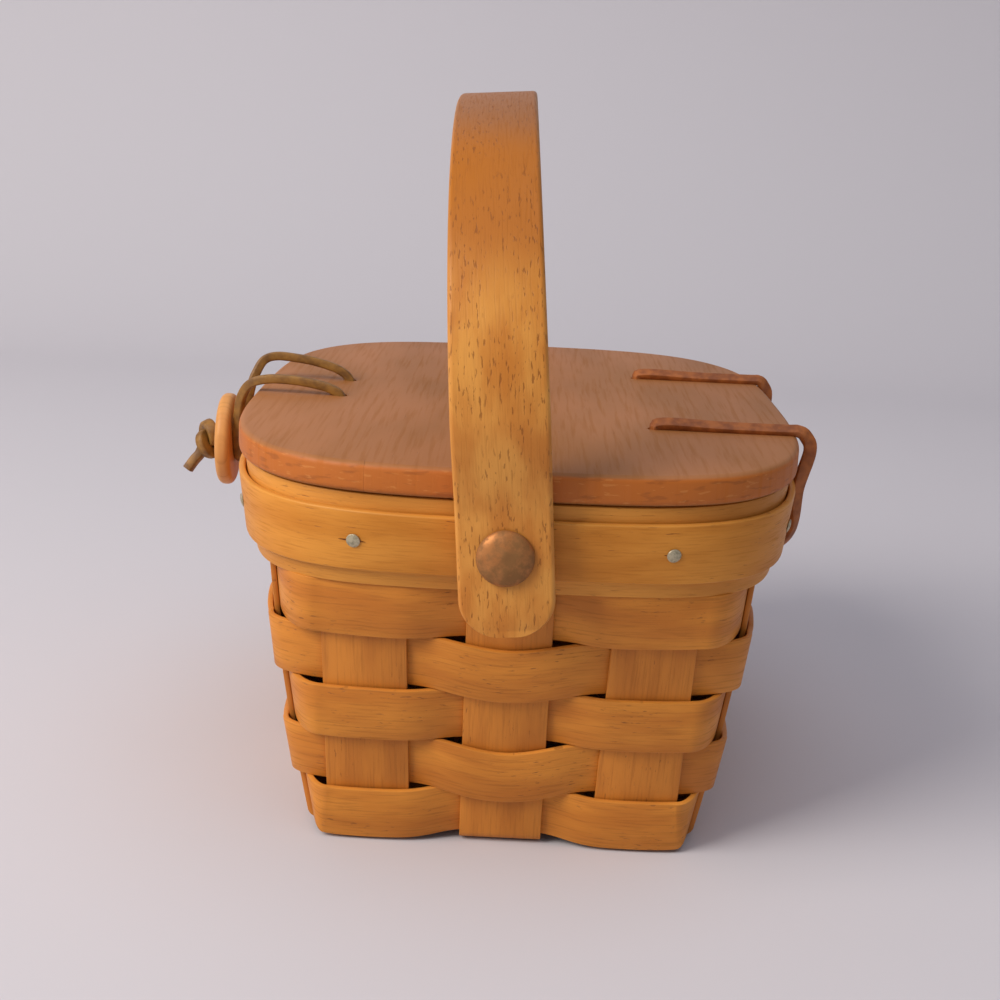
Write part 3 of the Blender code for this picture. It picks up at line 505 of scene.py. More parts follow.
@dataclass(frozen=True)
class Plan:
    """Shape of the walls: a rounded box that flares, seen at any height."""

    strip_width: float = 17.8 * MM
    cross_pitch: float = 28.65 * MM
    long_pitch: float = 29.13 * MM
    cross_count: int = 3
    long_count: int = 4
    foot_margins: tuple[float, float] = (4.6 * MM, 6.2 * MM)
    flares: tuple[float, float] = (0.2096, 0.19)
    foot_power: float = 24.0
    rim_power: float = 3.5
    power_ease: float = 1.3
    rim_z: float = 81.7 * MM
    fan: float = 0.9
    bend_reach: float = 0.7
    held_turn: float = 56.0 * DEGREE
    swing_gain: float = 1.6

    def centres(self, count: int, pitch: float) -> list[float]:
        """Places of the strips of one set, from minus to plus."""
        return [(index - (count - 1) / 2) * pitch for index in range(count)]

    def cross_x(self) -> list[float]:
        """Places of the strips that end at the near and far sides."""
        return self.centres(self.cross_count, self.cross_pitch)

    def long_y(self) -> list[float]:
        """Places of the strips that end at the left and right sides."""
        return self.centres(self.long_count, self.long_pitch)

    def sizes(self, z: float) -> tuple[float, float, float]:
        """Half sizes and squareness of the splints' middle surface at a height."""
        foot_x = self.cross_x()[-1] + self.strip_width / 2 + self.foot_margins[0]
        foot_y = self.long_y()[-1] + self.strip_width / 2 + self.foot_margins[1]
        rise = min(max(z / self.rim_z, 0.0), 1.0) ** self.power_ease
        power = 1.0 / ((1.0 - rise) / self.foot_power + rise / self.rim_power)
        return foot_x + self.flares[0] * z, foot_y + self.flares[1] * z, power

    def flare(self, side: str) -> float:
        """Sideways growth of one side for each unit of height."""
        return self.flares[1] if side in ("near", "far") else self.flares[0]

    def outward(self, x: float, y: float, z: float) -> Vector:
        """Level outward direction at a point of the outline."""
        half_x, half_y, power = self.sizes(z)
        across = math.copysign(abs(x / half_x) ** (power - 1.0), x) / half_x
        along = math.copysign(abs(y / half_y) ** (power - 1.0), y) / half_y
        return Vector((across, along, 0.0)).normalized()

    def on_side(self, side: str, place: float, z: float) -> Vector:
        """Point on one side: near, right, far or left."""
        half_x, half_y, power = self.sizes(z)
        endwise = side in ("near", "far")
        wide, deep = (half_x, half_y) if endwise else (half_y, half_x)
        depth = deep * (1.0 - abs(place / wide) ** power) ** (1.0 / power)
        depth = -depth if side in ("near", "left") else depth
        return Vector((place, depth, z) if endwise else (depth, place, z))

    def fanned(self, centre: float, z: float) -> float:
        """Place of a strip's middle at a height: the strips spread towards the rim."""
        return centre * (1.0 + self.fan * max(z, 0.0))

    def on_strip(self, side: str, centre: float, share: float, z: float) -> tuple[Vector, Vector]:
        """Point and outward direction on a flat upright, share -1 to 1 across it."""
        middle = self.fanned(centre, z)
        low = self.on_side(side, middle - self.strip_width / 2, z)
        high = self.on_side(side, middle + self.strip_width / 2, z)
        spot = low.lerp(high, (share + 1.0) / 2.0)
        along = (high - low).normalized()
        facing = Vector((along.y, -along.x, 0.0))
        return spot, facing if facing.dot(spot) > 0.0 else -facing

    def on_band(self, spot: Vector) -> tuple[Vector, Vector]:
        """Point and direction on the smooth outline, outside any point near it."""
        half_x, half_y, power = self.sizes(spot.z)
        reach = (abs(spot.x / half_x) ** power + abs(spot.y / half_y) ** power) ** (1.0 / power)
        x, y = spot.x / reach, spot.y / reach
        return Vector((x, y, spot.z)), self.outward(x, y, spot.z)

    def sides(self) -> list[tuple[str, list[float]]]:
        """The sides in order round the basket, each with its strips in order."""
        return [
            ("near", self.cross_x()), ("right", self.long_y()),
            ("far", self.cross_x()[::-1]), ("left", self.long_y()[::-1]),
        ]

    def weight(self, turn: float) -> float:
        """Share of the swing at a weave angle, with the bend eased by the wood."""
        return math.tanh(self.swing_gain * math.cos(turn)) / math.tanh(self.swing_gain)

    def stations(self, across: int, between: int, corner: int) -> list[Station]:
        """Stations round a ring, in order.

        Args:
            across: Steps across a strip.
            between: Steps between two strips.
            corner: Steps round a corner.

        Returns:
            The stations, from the first edge of the near side's first upright.
        """
        runs = self.sides()
        crossed = math.pi - 2.0 * self.held_turn
        found: list[Station] = []
        base = 0.0
        for number, (side, centres) in enumerate(runs):
            step = 1.0 if centres[-1] > centres[0] else -1.0
            for index, centre in enumerate(centres):
                for count in range(across + 1):
                    share = 2.0 * count / across - 1.0
                    turn = base + self.held_turn * share
                    found.append(self.at_upright(side, centre, share * step, turn))
                left = base + self.held_turn
                base += math.pi
                if index + 1 < len(centres):
                    pair = (centre, centres[index + 1])
                    for share in (count / between for count in range(1, between)):
                        found.append(self.at_gap(side, pair, share, left + crossed * share))
                    continue
                following, next_centres = runs[(number + 1) % len(runs)]
                ahead = 1.0 if next_centres[-1] > next_centres[0] else -1.0
                before, after = found[-1].place, self.at_upright(
                    following, next_centres[0], -ahead, left + crossed).place
                for share in (count / corner for count in range(1, corner)):
                    turn = left + crossed * share
                    found.append(self.at_bend(side, before, after, share, turn))
        return found

    def opened(self, stations: list[Station], crossing: int) -> list[Station]:
        """The same ring, begun and ended at the middle of one upright."""
        goal = crossing * math.pi
        first = min(range(len(stations)), key=lambda i: abs(stations[i].turn - goal))
        return stations[first:] + stations[:first + 1]

    def at_upright(self, side: str, centre: float, share: float, turn: float) -> Station:
        """Station on an upright."""
        weight = self.weight(turn)

        def place(z: float, swing: float) -> Vector:
            spot, facing = self.on_strip(side, centre, share, z)
            return spot + facing * swing * weight
        return Station(place, turn, weight)

    def at_gap(
        self, side: str, pair: tuple[float, float], share: float, turn: float
    ) -> Station:
        """Station at a share of the gap between two uprights of one side."""
        weight = self.weight(turn)
        half = math.copysign(self.strip_width / 2, pair[1] - pair[0])

        def place(z: float, swing: float) -> Vector:
            edge, end = self.fanned(pair[0], z) + half, self.fanned(pair[1], z) - half
            spot = self.on_side(side, edge + (end - edge) * share, z)
            return spot + self.outward(spot.x, spot.y, z) * swing * weight
        return Station(place, turn, weight)

    def at_bend(
        self, side: str, before: Place, after: Place, share: float, turn: float
    ) -> Station:
        """Station on the bend from the last upright of a side to the next side."""
        weight, leaving = self.weight(turn), math.cos(round(turn / math.pi - 0.5) * math.pi)

        def place(z: float, swing: float) -> Vector:
            start, end = before(z, swing), after(z, swing)
            corner = Vector((end.x, start.y, z))
            if side in ("left", "right"):
                corner = Vector((start.x, end.y, z))
            if swing:
                outer = start if leaving * swing > 0.0 else end
                corner = outer.lerp(corner, self.bend_reach)
            return start.lerp(corner, share).lerp(corner.lerp(end, share), share)
        return Station(place, turn, weight)


PLAN = Plan()


@dataclass
class Path:
    """A path for a strip: points, facings and width shares, station by station."""

    points: list[Vector]
    facings: list[Vector]
    shares: list[float]

    @classmethod
    def between_edges(
        cls, low: list[Vector], high: list[Vector], width: float, shortened: float = 0.0
    ) -> Path:
        """Path midway between the two long edges of a strip.

        Args:
            low: Points of one edge.
            high: Points of the other.
            width: Width that counts as a share of 1.
            shortened: Length taken off each end.

        Returns:
            The path, facing to one side all along.
        """
        middle = [(a + b) / 2 for a, b in zip(low, high)]
        facings = []
        for i, (one, two) in enumerate(zip(low, high)):
            ahead = middle[min(i + 1, len(middle) - 1)] - middle[max(i - 1, 0)]
            facings.append(ahead.cross(two - one).normalized())
        shares = [(b - a).length / width for a, b in zip(low, high)]
        middle[0] = middle[0] + (middle[1] - middle[0]).normalized() * shortened
        middle[-1] = middle[-1] + (middle[-2] - middle[-1]).normalized() * shortened
        return cls(middle, facings, shares)

    def mesh(self, name: str) -> bpy.types.Mesh:
        """Path as a wire mesh that carries its facings and width shares."""
        edges = [(i, i + 1) for i in range(len(self.points) - 1)]
        made = wire_mesh(name, self.points, self.facings, edges)
        made.attributes.new("share", "FLOAT", "POINT").data.foreach_set(
            "value", self.shares)
        return made


@dataclass(frozen=True)
class Section:
    """Cross-section of a swept strip: its width, thickness and rounded edges."""

    width: float
    thickness: float
    edge_radius: float
    edge_steps: int = 2
    ripple: float = 0.0


def wire_mesh(
    name: str, points: Sequence[Vector], facings: Sequence[Vector],
    edges: Sequence[tuple[int, int]] = (),
) -> bpy.types.Mesh:
    """Points, and edges between them, that carry the direction each one faces."""
    made = bpy.data.meshes.new(name)
    made.from_pydata([tuple(point) for point in points], edges, [])
    facing = made.attributes.new("facing", "FLOAT_VECTOR", "POINT")
    facing.data.foreach_set("vector", [part for way in facings for part in way])
    return made


def linked(name: str, data: bpy.types.ID) -> Piece:
    """Make an object at the origin of the scene."""
    made = bpy.data.objects.new(name, data)
    bpy.context.scene.collection.objects.link(made)
    return made


def applied(piece: Piece, modifier: bpy.types.Modifier) -> bpy.types.Mesh:
    """Take the mesh that a modifier makes of a piece, and remove the modifier."""
    bpy.context.view_layer.update()
    graph = bpy.context.evaluated_depsgraph_get()
    mesh = bpy.data.meshes.new_from_object(piece.evaluated_get(graph))
    piece.modifiers.remove(modifier)
    return mesh


def shaded(piece: Piece) -> Piece:
    """Shade a piece smooth but for its sharp edges."""
    piece.data.shade_smooth()
    piece.data.set_sharp_from_angle(angle=SHARP_ANGLE)
    return piece


def mesh_piece(name: str, bm: Solid, material: bpy.types.Material) -> Piece:
    """Turn a bmesh into a finished piece at the origin."""
    bmesh.ops.remove_doubles(bm, verts=bm.verts, dist=WELD)
    bmesh.ops.recalc_face_normals(bm, faces=bm.faces)
    mesh = bpy.data.meshes.new(name)
    bm.to_mesh(mesh)
    bm.free()
    mesh.materials.append(material)
    return shaded(linked(name, mesh))


def start_tree(
    name: str, sockets: dict[str, str]
) -> tuple[Tree, bpy.types.bpy_prop_collection]:
    """Begin a Geometry Nodes tree that takes a material after its other inputs.

    Args:
        name: Name of the tree.
        sockets: Type of each of its other inputs, by name.

    Returns:
        The tree, and its inputs' sockets.
    """
    tree = bpy.data.node_groups.new(name, "GeometryNodeTree")
    for label, kind in {**sockets, "Material": "Material"}.items():
        tree.interface.new_socket(label, in_out="INPUT", socket_type="NodeSocket" + kind)
    tree.interface.new_socket("Made", in_out="OUTPUT", socket_type="NodeSocketGeometry")
    return tree, add_node(tree, "NodeGroupInput").outputs


def end_tree(tree: Tree, made: Socket, material: Socket) -> None:
    """Make a tree's result real, and give it its material."""
    real = add_node(tree, "GeometryNodeRealizeInstances", {0: made})
    dressed = add_node(
        tree, "GeometryNodeSetMaterial", {"Geometry": real.outputs[0], "Material": material})
    add_node(tree, "NodeGroupOutput", {0: dressed.outputs[0]})


def grown_mesh(name: str, seed_object: Piece, tree: Tree, values: dict) -> Piece:
    """Run a Geometry Nodes tree on an object and keep the result as a plain mesh.

    Args:
        name: Name of the piece.
        seed_object: The object that the tree starts from; it is removed.
        tree: The Geometry Nodes tree.
        values: Its inputs by name.

    Returns:
        A mesh object without modifiers.
    """
    modifier = seed_object.modifiers.new("nodes", "NODES")
    modifier.node_group = tree
    for socket in tree.interface.items_tree:
        if socket.in_out == "INPUT" and socket.name in values:
            modifier[socket.identifier] = values[socket.name]
    mesh = applied(seed_object, modifier)
    bpy.data.objects.remove(seed_object, do_unlink=True)
    mesh.name = name
    return shaded(linked(name, mesh))


class StripSweeper:
    """Sweeps rectangular sections with rounded edges along paths, by Geometry Nodes."""

    ripple_mm = (16.0, 22.0)
    ripple_detail = 1.0

    def __init__(self) -> None:
        """Build the tree once for all strips."""
        numbers = ("Width", "Thickness", "Edge Radius", "Ripple", "Seed")
        sockets = {"Path": "Geometry", **dict.fromkeys(numbers, "Float"), "Edge Steps": "Int"}
        self.tree, self.given = start_tree("sweep_strip", sockets)
        swept = self.sweep(self.turned_path(), self.section())
        finished = self.rippled(self.width_fitted(swept))
        end_tree(self.tree, finished, self.given["Material"])

    def named(self, name: str, kind: str = "FLOAT") -> Socket:
        """Read a named attribute."""
        return add_node(
            self.tree, "GeometryNodeInputNamedAttribute", {"Name": name}, data_type=kind
        ).outputs[0]

    def stored(self, geometry: Socket, name: str, value: Socket, kind: str = "FLOAT") -> Socket:
        """Store a named attribute on the points of a geometry."""
        return add_node(
            self.tree, "GeometryNodeStoreNamedAttribute",
            {"Geometry": geometry, "Name": name, "Value": value}, data_type=kind, domain="POINT"
        ).outputs[0]

    def moved(self, strip: Socket, way: str, reach: Socket) -> Socket:
        """Move each point by a reach along a direction that it carries."""
        shift = add_node(
            self.tree, "ShaderNodeVectorMath",
            {0: self.named(way, "FLOAT_VECTOR"), "Scale": reach}, operation="SCALE")
        return add_node(
            self.tree, "GeometryNodeSetPosition", {0: strip, "Offset": shift.outputs[0]}
        ).outputs[0]

    def turned_path(self) -> Socket:
        """Turn the wire into a curve that faces the way its points say."""
        line = add_node(self.tree, "GeometryNodeMeshToCurve", {0: self.given["Path"]})
        turned = add_node(
            self.tree, "GeometryNodeSetCurveNormal",
            {"Curve": line.outputs[0], "Normal": self.named("facing", "FLOAT_VECTOR")},
            mode="FREE")
        length = add_node(self.tree, "GeometryNodeSplineParameter").outputs["Length"]
        run = self.stored(turned.outputs[0], "along", length)
        tangent = add_node(self.tree, "GeometryNodeInputTangent").outputs[0]
        facing = add_node(self.tree, "GeometryNodeInputNormal").outputs[0]
        sideways = vector_maths(self.tree, "CROSS_PRODUCT", tangent, facing)
        return self.stored(run, "sideways", sideways, "FLOAT_VECTOR")

    def section(self) -> Socket:
        """Rounded rectangle whose points know where they lie across the strip."""
        block = add_node(
            self.tree, "GeometryNodeCurvePrimitiveQuadrilateral",
            {"Width": self.given["Thickness"], "Height": self.given["Width"]})
        rounded = add_node(
            self.tree, "GeometryNodeFilletCurve",
            {"Curve": block.outputs[0], "Radius": self.given["Edge Radius"],
             "Count": self.given["Edge Steps"], "Limit Radius": True}, mode="POLY")
        spot = add_node(self.tree, "GeometryNodeInputPosition").outputs[0]
        across = split_axes(self.tree, spot)[1]
        side = maths(self.tree, "DIVIDE", across, self.given["Width"])
        share = maths(self.tree, "ABSOLUTE", side)
        placed = self.stored(rounded.outputs[0], "across", across)
        return self.stored(placed, "edge", times(self.tree, share, 2.0))

    def sweep(self, path: Socket, section: Socket) -> Socket:
        """Sweep the section along the path."""
        return add_node(
            self.tree, "GeometryNodeCurveToMesh",
            {"Curve": path, "Profile Curve": section, "Fill Caps": True}).outputs[0]

    def width_fitted(self, strip: Socket) -> Socket:
        """Narrow or widen the strip by its width shares."""
        share, across = self.named("share"), self.named("across")
        grown = maths(self.tree, "SUBTRACT", share, 1.0)
        fitted = self.moved(strip, "sideways", times(self.tree, grown, across))
        return self.stored(fitted, "across", times(self.tree, share, across))

    def rippled(self, strip: Socket) -> Socket:
        """Give the strip the slight waves of split wood, and its seed."""
        along, across = (
            times(self.tree, self.named(name), per_size(size))
            for name, size in zip(("along", "across"), self.ripple_mm))
        place = add_node(
            self.tree, "ShaderNodeCombineXYZ", {0: along, 1: across, 2: self.given["Seed"]})
        waves = noise_at(self.tree, place.outputs[0], 1.0, self.ripple_detail)
        centred = maths(self.tree, "SUBTRACT", waves, 0.5)
        waved = self.moved(strip, "facing", times(self.tree, centred, self.given["Ripple"]))
        kept = self.stored(waved, "seed", self.given["Seed"])
        for name in ("facing", "sideways", "share"):
            kept = add_node(
                self.tree, "GeometryNodeRemoveAttribute", {"Geometry": kept, "Name": name}
            ).outputs[0]
        return kept

    def strip(
        self, name: str, path: Path, section: Section, material: bpy.types.Material, seed: int
    ) -> Piece:
        """Sweep one strip and make it a plain mesh.

        Args:
            name: Name of the piece.
            path: Where it runs.
            section: Its cross-section.
            material: Its finish.
            seed: Picks its own stretch of grain.

        Returns:
            The finished piece.
        """
        values = {
            "Width": section.width, "Thickness": section.thickness,
            "Edge Radius": section.edge_radius, "Edge Steps": section.edge_steps,
            "Ripple": section.ripple, "Seed": float(seed), "Material": material,
        }
        wire = linked(name + "_path", path.mesh(name + "_path"))
        return grown_mesh(name, wire, self.tree, values)


def lathe(
    profile: list[tuple[float, float]], centre: Vector, axis: Vector, sides: int, dent: float = 0.0
) -> Solid:
    """Turn a profile about an axis.

    Args:
        profile: (radius, height along the axis) pairs; a radius of 0 closes the end.
        centre: Point on the axis where the height is 0.
        axis: Direction of the axis.
        sides: Facets round the axis.
        dent: Depth of the slight unevenness of a beaten surface.

    Returns:
        The turned surface.
    """
    bm = bmesh.new()
    turn = UP.rotation_difference(axis).to_matrix()
    rings = []
    for radius, height in profile:
        ring = []
        for count in range(sides if radius > 0.0 else 1):
            angle = math.tau * count / sides
            spot = Vector((radius * math.cos(angle), radius * math.sin(angle), height))
            spot.z += dent * noise.noise(spot * per_size(DENT_MM))
            ring.append(bm.verts.new(centre + turn @ spot))
        rings.append(ring)
    for one, two in zip(rings, rings[1:]):
        for i in range(sides):
            corners = [one[i % len(one)], one[(i + 1) % len(one)],
                       two[(i + 1) % len(two)], two[i % len(two)]]
            unique = list(dict.fromkeys(corners))
            if len(unique) > 2:
                bm.faces.new(unique)
    return bm


def arc(
    centre: tuple[float, float], radius: float, start: float, end: float, steps: int
) -> list[tuple[float, float]]:
    """Points of a rounded edge, with angles in degrees."""
    angles = [(start + (end - start) * k / steps) * DEGREE for k in range(steps + 1)]
    return [
        (centre[0] + radius * math.cos(a), centre[1] + radius * math.sin(a)) for a in angles
    ]


@dataclass(frozen=True)
class Bend:
    """Where a lace passes from one body to the next."""

    body: str
    start: tuple[float, float, float]
    end: tuple[float, float, float]


def settle(
    piece: Piece, body: str, slot: str, *nodes: str, bend: Bend | None = None
) -> None:
    """Attach a piece to the body it rides on, hide the CAD nodes it stands for, and log it.

    Args:
        piece: The finished piece.
        body: The CAD body it moves with.
        slot: The record's material slot; not used.
        *nodes: The CAD nodes it stands for.
        bend: When given, the piece's transform is baked in and it is attached to no body; the
            bend's body and places are not read.
    """
    if bend:
        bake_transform(piece)
    else:
        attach(piece, body)
    if nodes:
        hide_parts(*nodes)
    faces = len(piece.data.polygons)
    LOG.info("%s rides on %s, %d faces, for %s", piece.name, body, faces, ", ".join(nodes))


@dataclass
class Uprights:
    """The seven splints that cross the bottom and stand up as the walls' uprights."""

    section: Section = Section(17.8 * MM, 1.2 * MM, 0.25 * MM, ripple=0.12 * MM)
    touch: float = TOUCH_GAP
    fold_radius: float = 1.8 * MM
    fold_lift: float = 0.5 * MM
    rest_reach: float = 1.2 * MM
    cross_reach: float = 0.5 * MM
    top_drop: float = 0.5 * MM
    wall_steps: int = 40
    fold_steps: int = 10
    rise_steps: int = 10

    def levels(
        self, crossings: list[float], outer_at: list[bool], wall: float, flare: float
    ) -> list:
        """Route over the bottom as (place, height) pairs, fold to fold.

        Args:
            crossings: Places of the strips that it crosses.
            outer_at: Whether it passes under each of them.
            wall: Half size of the foot in its direction.
            flare: Sideways growth of its walls for each unit of height.

        Returns:
            The pairs, with the folds' corners first and last.
        """
        low = self.section.thickness / 2
        high = low + self.section.thickness + self.touch
        half = PLAN.strip_width / 2 + self.cross_reach
        marks = [
            (centre - half, centre + half, low if outer else high)
            for centre, outer in zip(crossings, outer_at)
        ]
        ends = [low if outer else low + self.fold_lift for outer in (outer_at[0], outer_at[-1])]
        start = -(wall + flare * ends[0])
        end = wall + flare * ends[1]
        inset = self.fold_radius + self.cross_reach
        route = [(start, ends[0])]
        route += self.rise(start + inset, ends[0], marks[0][0], marks[0][2])
        for (_, right, level), (left, _, following) in zip(marks, marks[1:]):
            middle = (right + left) / 2
            if level < following:
                route += self.rise(middle + self.rest_reach, level, left, following)
            else:
                route += self.rise(right, level, middle - self.rest_reach, following)
        route += self.rise(marks[-1][1], marks[-1][2], end - inset, ends[1])
        route.append((end, ends[1]))
        return route

    def rise(self, start: float, low: float, end: float, high: float) -> list:
        """Eased step between two levels."""
        if low == high:
            return []
        shares = [count / self.rise_steps for count in range(self.rise_steps + 1)]
        return [(start + (end - start) * s, low + (high - low) * smooth_share(s)) for s in shares]

    def wall_rows(self, side: str, centre: float, fold: tuple[float, float]) -> list:
        """Edge points from the strip's top down its wall and round its fold."""
        place, level = fold
        out = -1.0 if side in ("near", "left") else 1.0
        flare = PLAN.flare(side)
        rise, floor = Vector((out * flare, 1.0)).normalized(), Vector((-out, 0.0))
        half_angle = rise.angle(floor) / 2
        corner = Vector((place, level))
        centre_2d = corner + (rise + floor).normalized() * self.fold_radius / math.sin(half_angle)
        run = self.fold_radius / math.tan(half_angle)
        spokes = (corner + rise * run - centre_2d, corner + floor * run - centre_2d)
        sweep = spokes[0].angle(spokes[1])
        fold_top = (corner + rise * run).y
        top = PLAN.rim_z - self.top_drop
        heights = [top + (fold_top - top) * k / self.wall_steps for k in range(self.wall_steps)]
        rows = [[PLAN.on_strip(side, centre, s, z)[0] for s in (-1.0, 1.0)] for z in heights]
        for count in range(self.fold_steps + 1):
            share = count / self.fold_steps
            spot = centre_2d + (
                spokes[0] * math.sin((1.0 - share) * sweep) + spokes[1] * math.sin(share * sweep)
            ) / math.sin(sweep)
            z = max(spot.y, fold_top)
            inset = abs(place) + flare * (z - level) - abs(spot.x)
            shift = Vector((0.0, -out * inset)) if side in ("near", "far") else (
                Vector((-out * inset, 0.0)))
            pair = [PLAN.on_strip(side, centre, s, z)[0] for s in (-1.0, 1.0)]
            rows.append([Vector((p.x + shift.x, p.y + shift.y, spot.y)) for p in pair])
        return rows

    def path(self, lengthwise: bool, centre: float, index: int) -> Path:
        """Path of one splint, from one top edge down, across and up again."""
        half = PLAN.strip_width / 2
        foot_x, foot_y, _ = PLAN.sizes(0.0)
        if lengthwise:
            sides, crossings, wall, parity = ("near", "far"), PLAN.long_y(), foot_y, 0
        else:
            sides, crossings, wall, parity = ("left", "right"), PLAN.cross_x(), foot_x, 1
        outer_at = [(index + other) % 2 == parity for other in range(len(crossings))]
        route = self.levels(crossings, outer_at, wall, PLAN.flare(sides[0]))
        floor = [
            [Vector((edge, place, level) if lengthwise else (place, edge, level))
             for edge in (centre - half, centre + half)]
            for place, level in route[1:-1]
        ]
        rows = self.wall_rows(sides[0], centre, route[0]) + floor
        rows += self.wall_rows(sides[1], centre, route[-1])[::-1]
        low, high = [row[0] for row in rows], [row[1] for row in rows]
        return Path.between_edges(low, high, self.section.width)

    def build(self, sweeper: StripSweeper) -> None:
        """Make and settle all seven."""
        finish = STAVE.build()
        for lengthwise, word, centres, first_seed in (
            (True, "cross", PLAN.cross_x(), 1), (False, "long", PLAN.long_y(), 5)
        ):
            for index, centre in enumerate(centres):
                name = f"{word}_upright_{index + 1}"
                path = self.path(lengthwise, centre, index)
                piece = sweeper.strip(name, path, self.section, finish, first_seed + index)
                settle(piece, "basket", "splint", f"upsplint_{word}_{index + 1}")


@dataclass
class WeaverRows:
    """The five rows of splint woven in and out round the uprights."""

    section: Section = Section(12.0 * MM, 1.2 * MM, 0.26 * MM, ripple=0.16 * MM)
    count: int = 5
    first_z: float = 1.6 * MM
    space: float = 0.2 * MM
    swing: float = 1.68 * MM
    edge_wave: float = 0.28 * MM
    first_wave: float = 0.85 * MM
    droops: tuple = ((1, 1, 2.0 * MM), (3, 1, 1.6 * MM), (2, 8, 1.2 * MM))
    droop_power: float = 1.5
    joints: tuple = (9, 8)
    first_seed: int = 11
    joint_gap: float = 0.05 * MM
    across_steps: int = 10
    between_steps: int = 7
    corner_steps: int = 14

    def droop(self, row: int, turn: float) -> float:
        """How far a row sags where it passes outside one upright."""
        for sagging, crossing, depth in self.droops:
            away = turn - crossing * math.pi
            if row == sagging and abs(away) < math.pi / 2:
                return depth * math.cos(away) ** self.droop_power
        return 0.0

    def path(self, row: int) -> Path:
        """Path of one row, with its ends meeting behind an upright; row 0 is the lowest."""
        flip, joint = -1.0 if row % 2 else 1.0, self.joints[row % 2]
        wave = self.first_wave if row == 0 else self.edge_wave
        base = self.first_z + row * (self.section.width + self.space)
        ring = PLAN.stations(self.across_steps, self.between_steps, self.corner_steps)
        low, high = [], []
        for station in PLAN.opened(ring, joint):
            shift = -wave * flip * station.weight - self.droop(row, station.turn)
            low.append(station.place(base + shift, flip * self.swing))
            high.append(station.place(base + self.section.width + shift, flip * self.swing))
        return Path.between_edges(low, high, self.section.width, self.joint_gap)

    def build(self, sweeper: StripSweeper) -> None:
        """Make and settle the rows."""
        finish = SPLINT.build()
        for row in range(self.count):
            number = self.count - row
            seed = self.first_seed + row
            piece = sweeper.strip(
                f"weaver_{number}", self.path(row), self.section, finish, seed)
            settle(piece, "basket", "splint", f"weaver_row_{number}")


@dataclass
class RimBands:
    """The inner band, wide band and trim strip that clamp the rim."""

    layers: tuple = (
        ("inner_band", 63.8 * MM, Section(17.6 * MM, 1.2 * MM, 0.3 * MM), -2.65 * MM),
        ("wide_band", 62.15 * MM, Section(19.5 * MM, 1.3 * MM, 0.35 * MM), 1.65 * MM),
        ("trim_strip", 65.7 * MM, Section(12.7 * MM, 1.5 * MM, 0.5 * MM, 3), 3.35 * MM),
    )
    joint: int = 8
    first_seed: int = 21
    joint_gap: float = 0.05 * MM
    across_steps: int = 6
    between_steps: int = 5
    corner_steps: int = 20

    def path(self, base: float, height: float, middle: float) -> Path:
        """Path of a band, with its ends meeting behind the handle's far leg."""
        ring = PLAN.stations(self.across_steps, self.between_steps, self.corner_steps)
        low, high = [], []
        for station in PLAN.opened(ring, self.joint):
            for edge, z in ((low, base), (high, base + height)):
                spot, facing = PLAN.on_band(station.place(z, 0.0))
                edge.append(spot + facing * middle)
        return Path.between_edges(low, high, height, self.joint_gap)

    def build(self, sweeper: StripSweeper) -> None:
        """Make and settle the bands."""
        finish = BAND.build()
        for seed, layer in enumerate(self.layers, self.first_seed):
            node, base, section, middle = layer
            path = self.path(base, section.width, middle)
            piece = sweeper.strip(node + "_skin", path, section, finish, seed)
            settle(piece, "basket", "band", node)


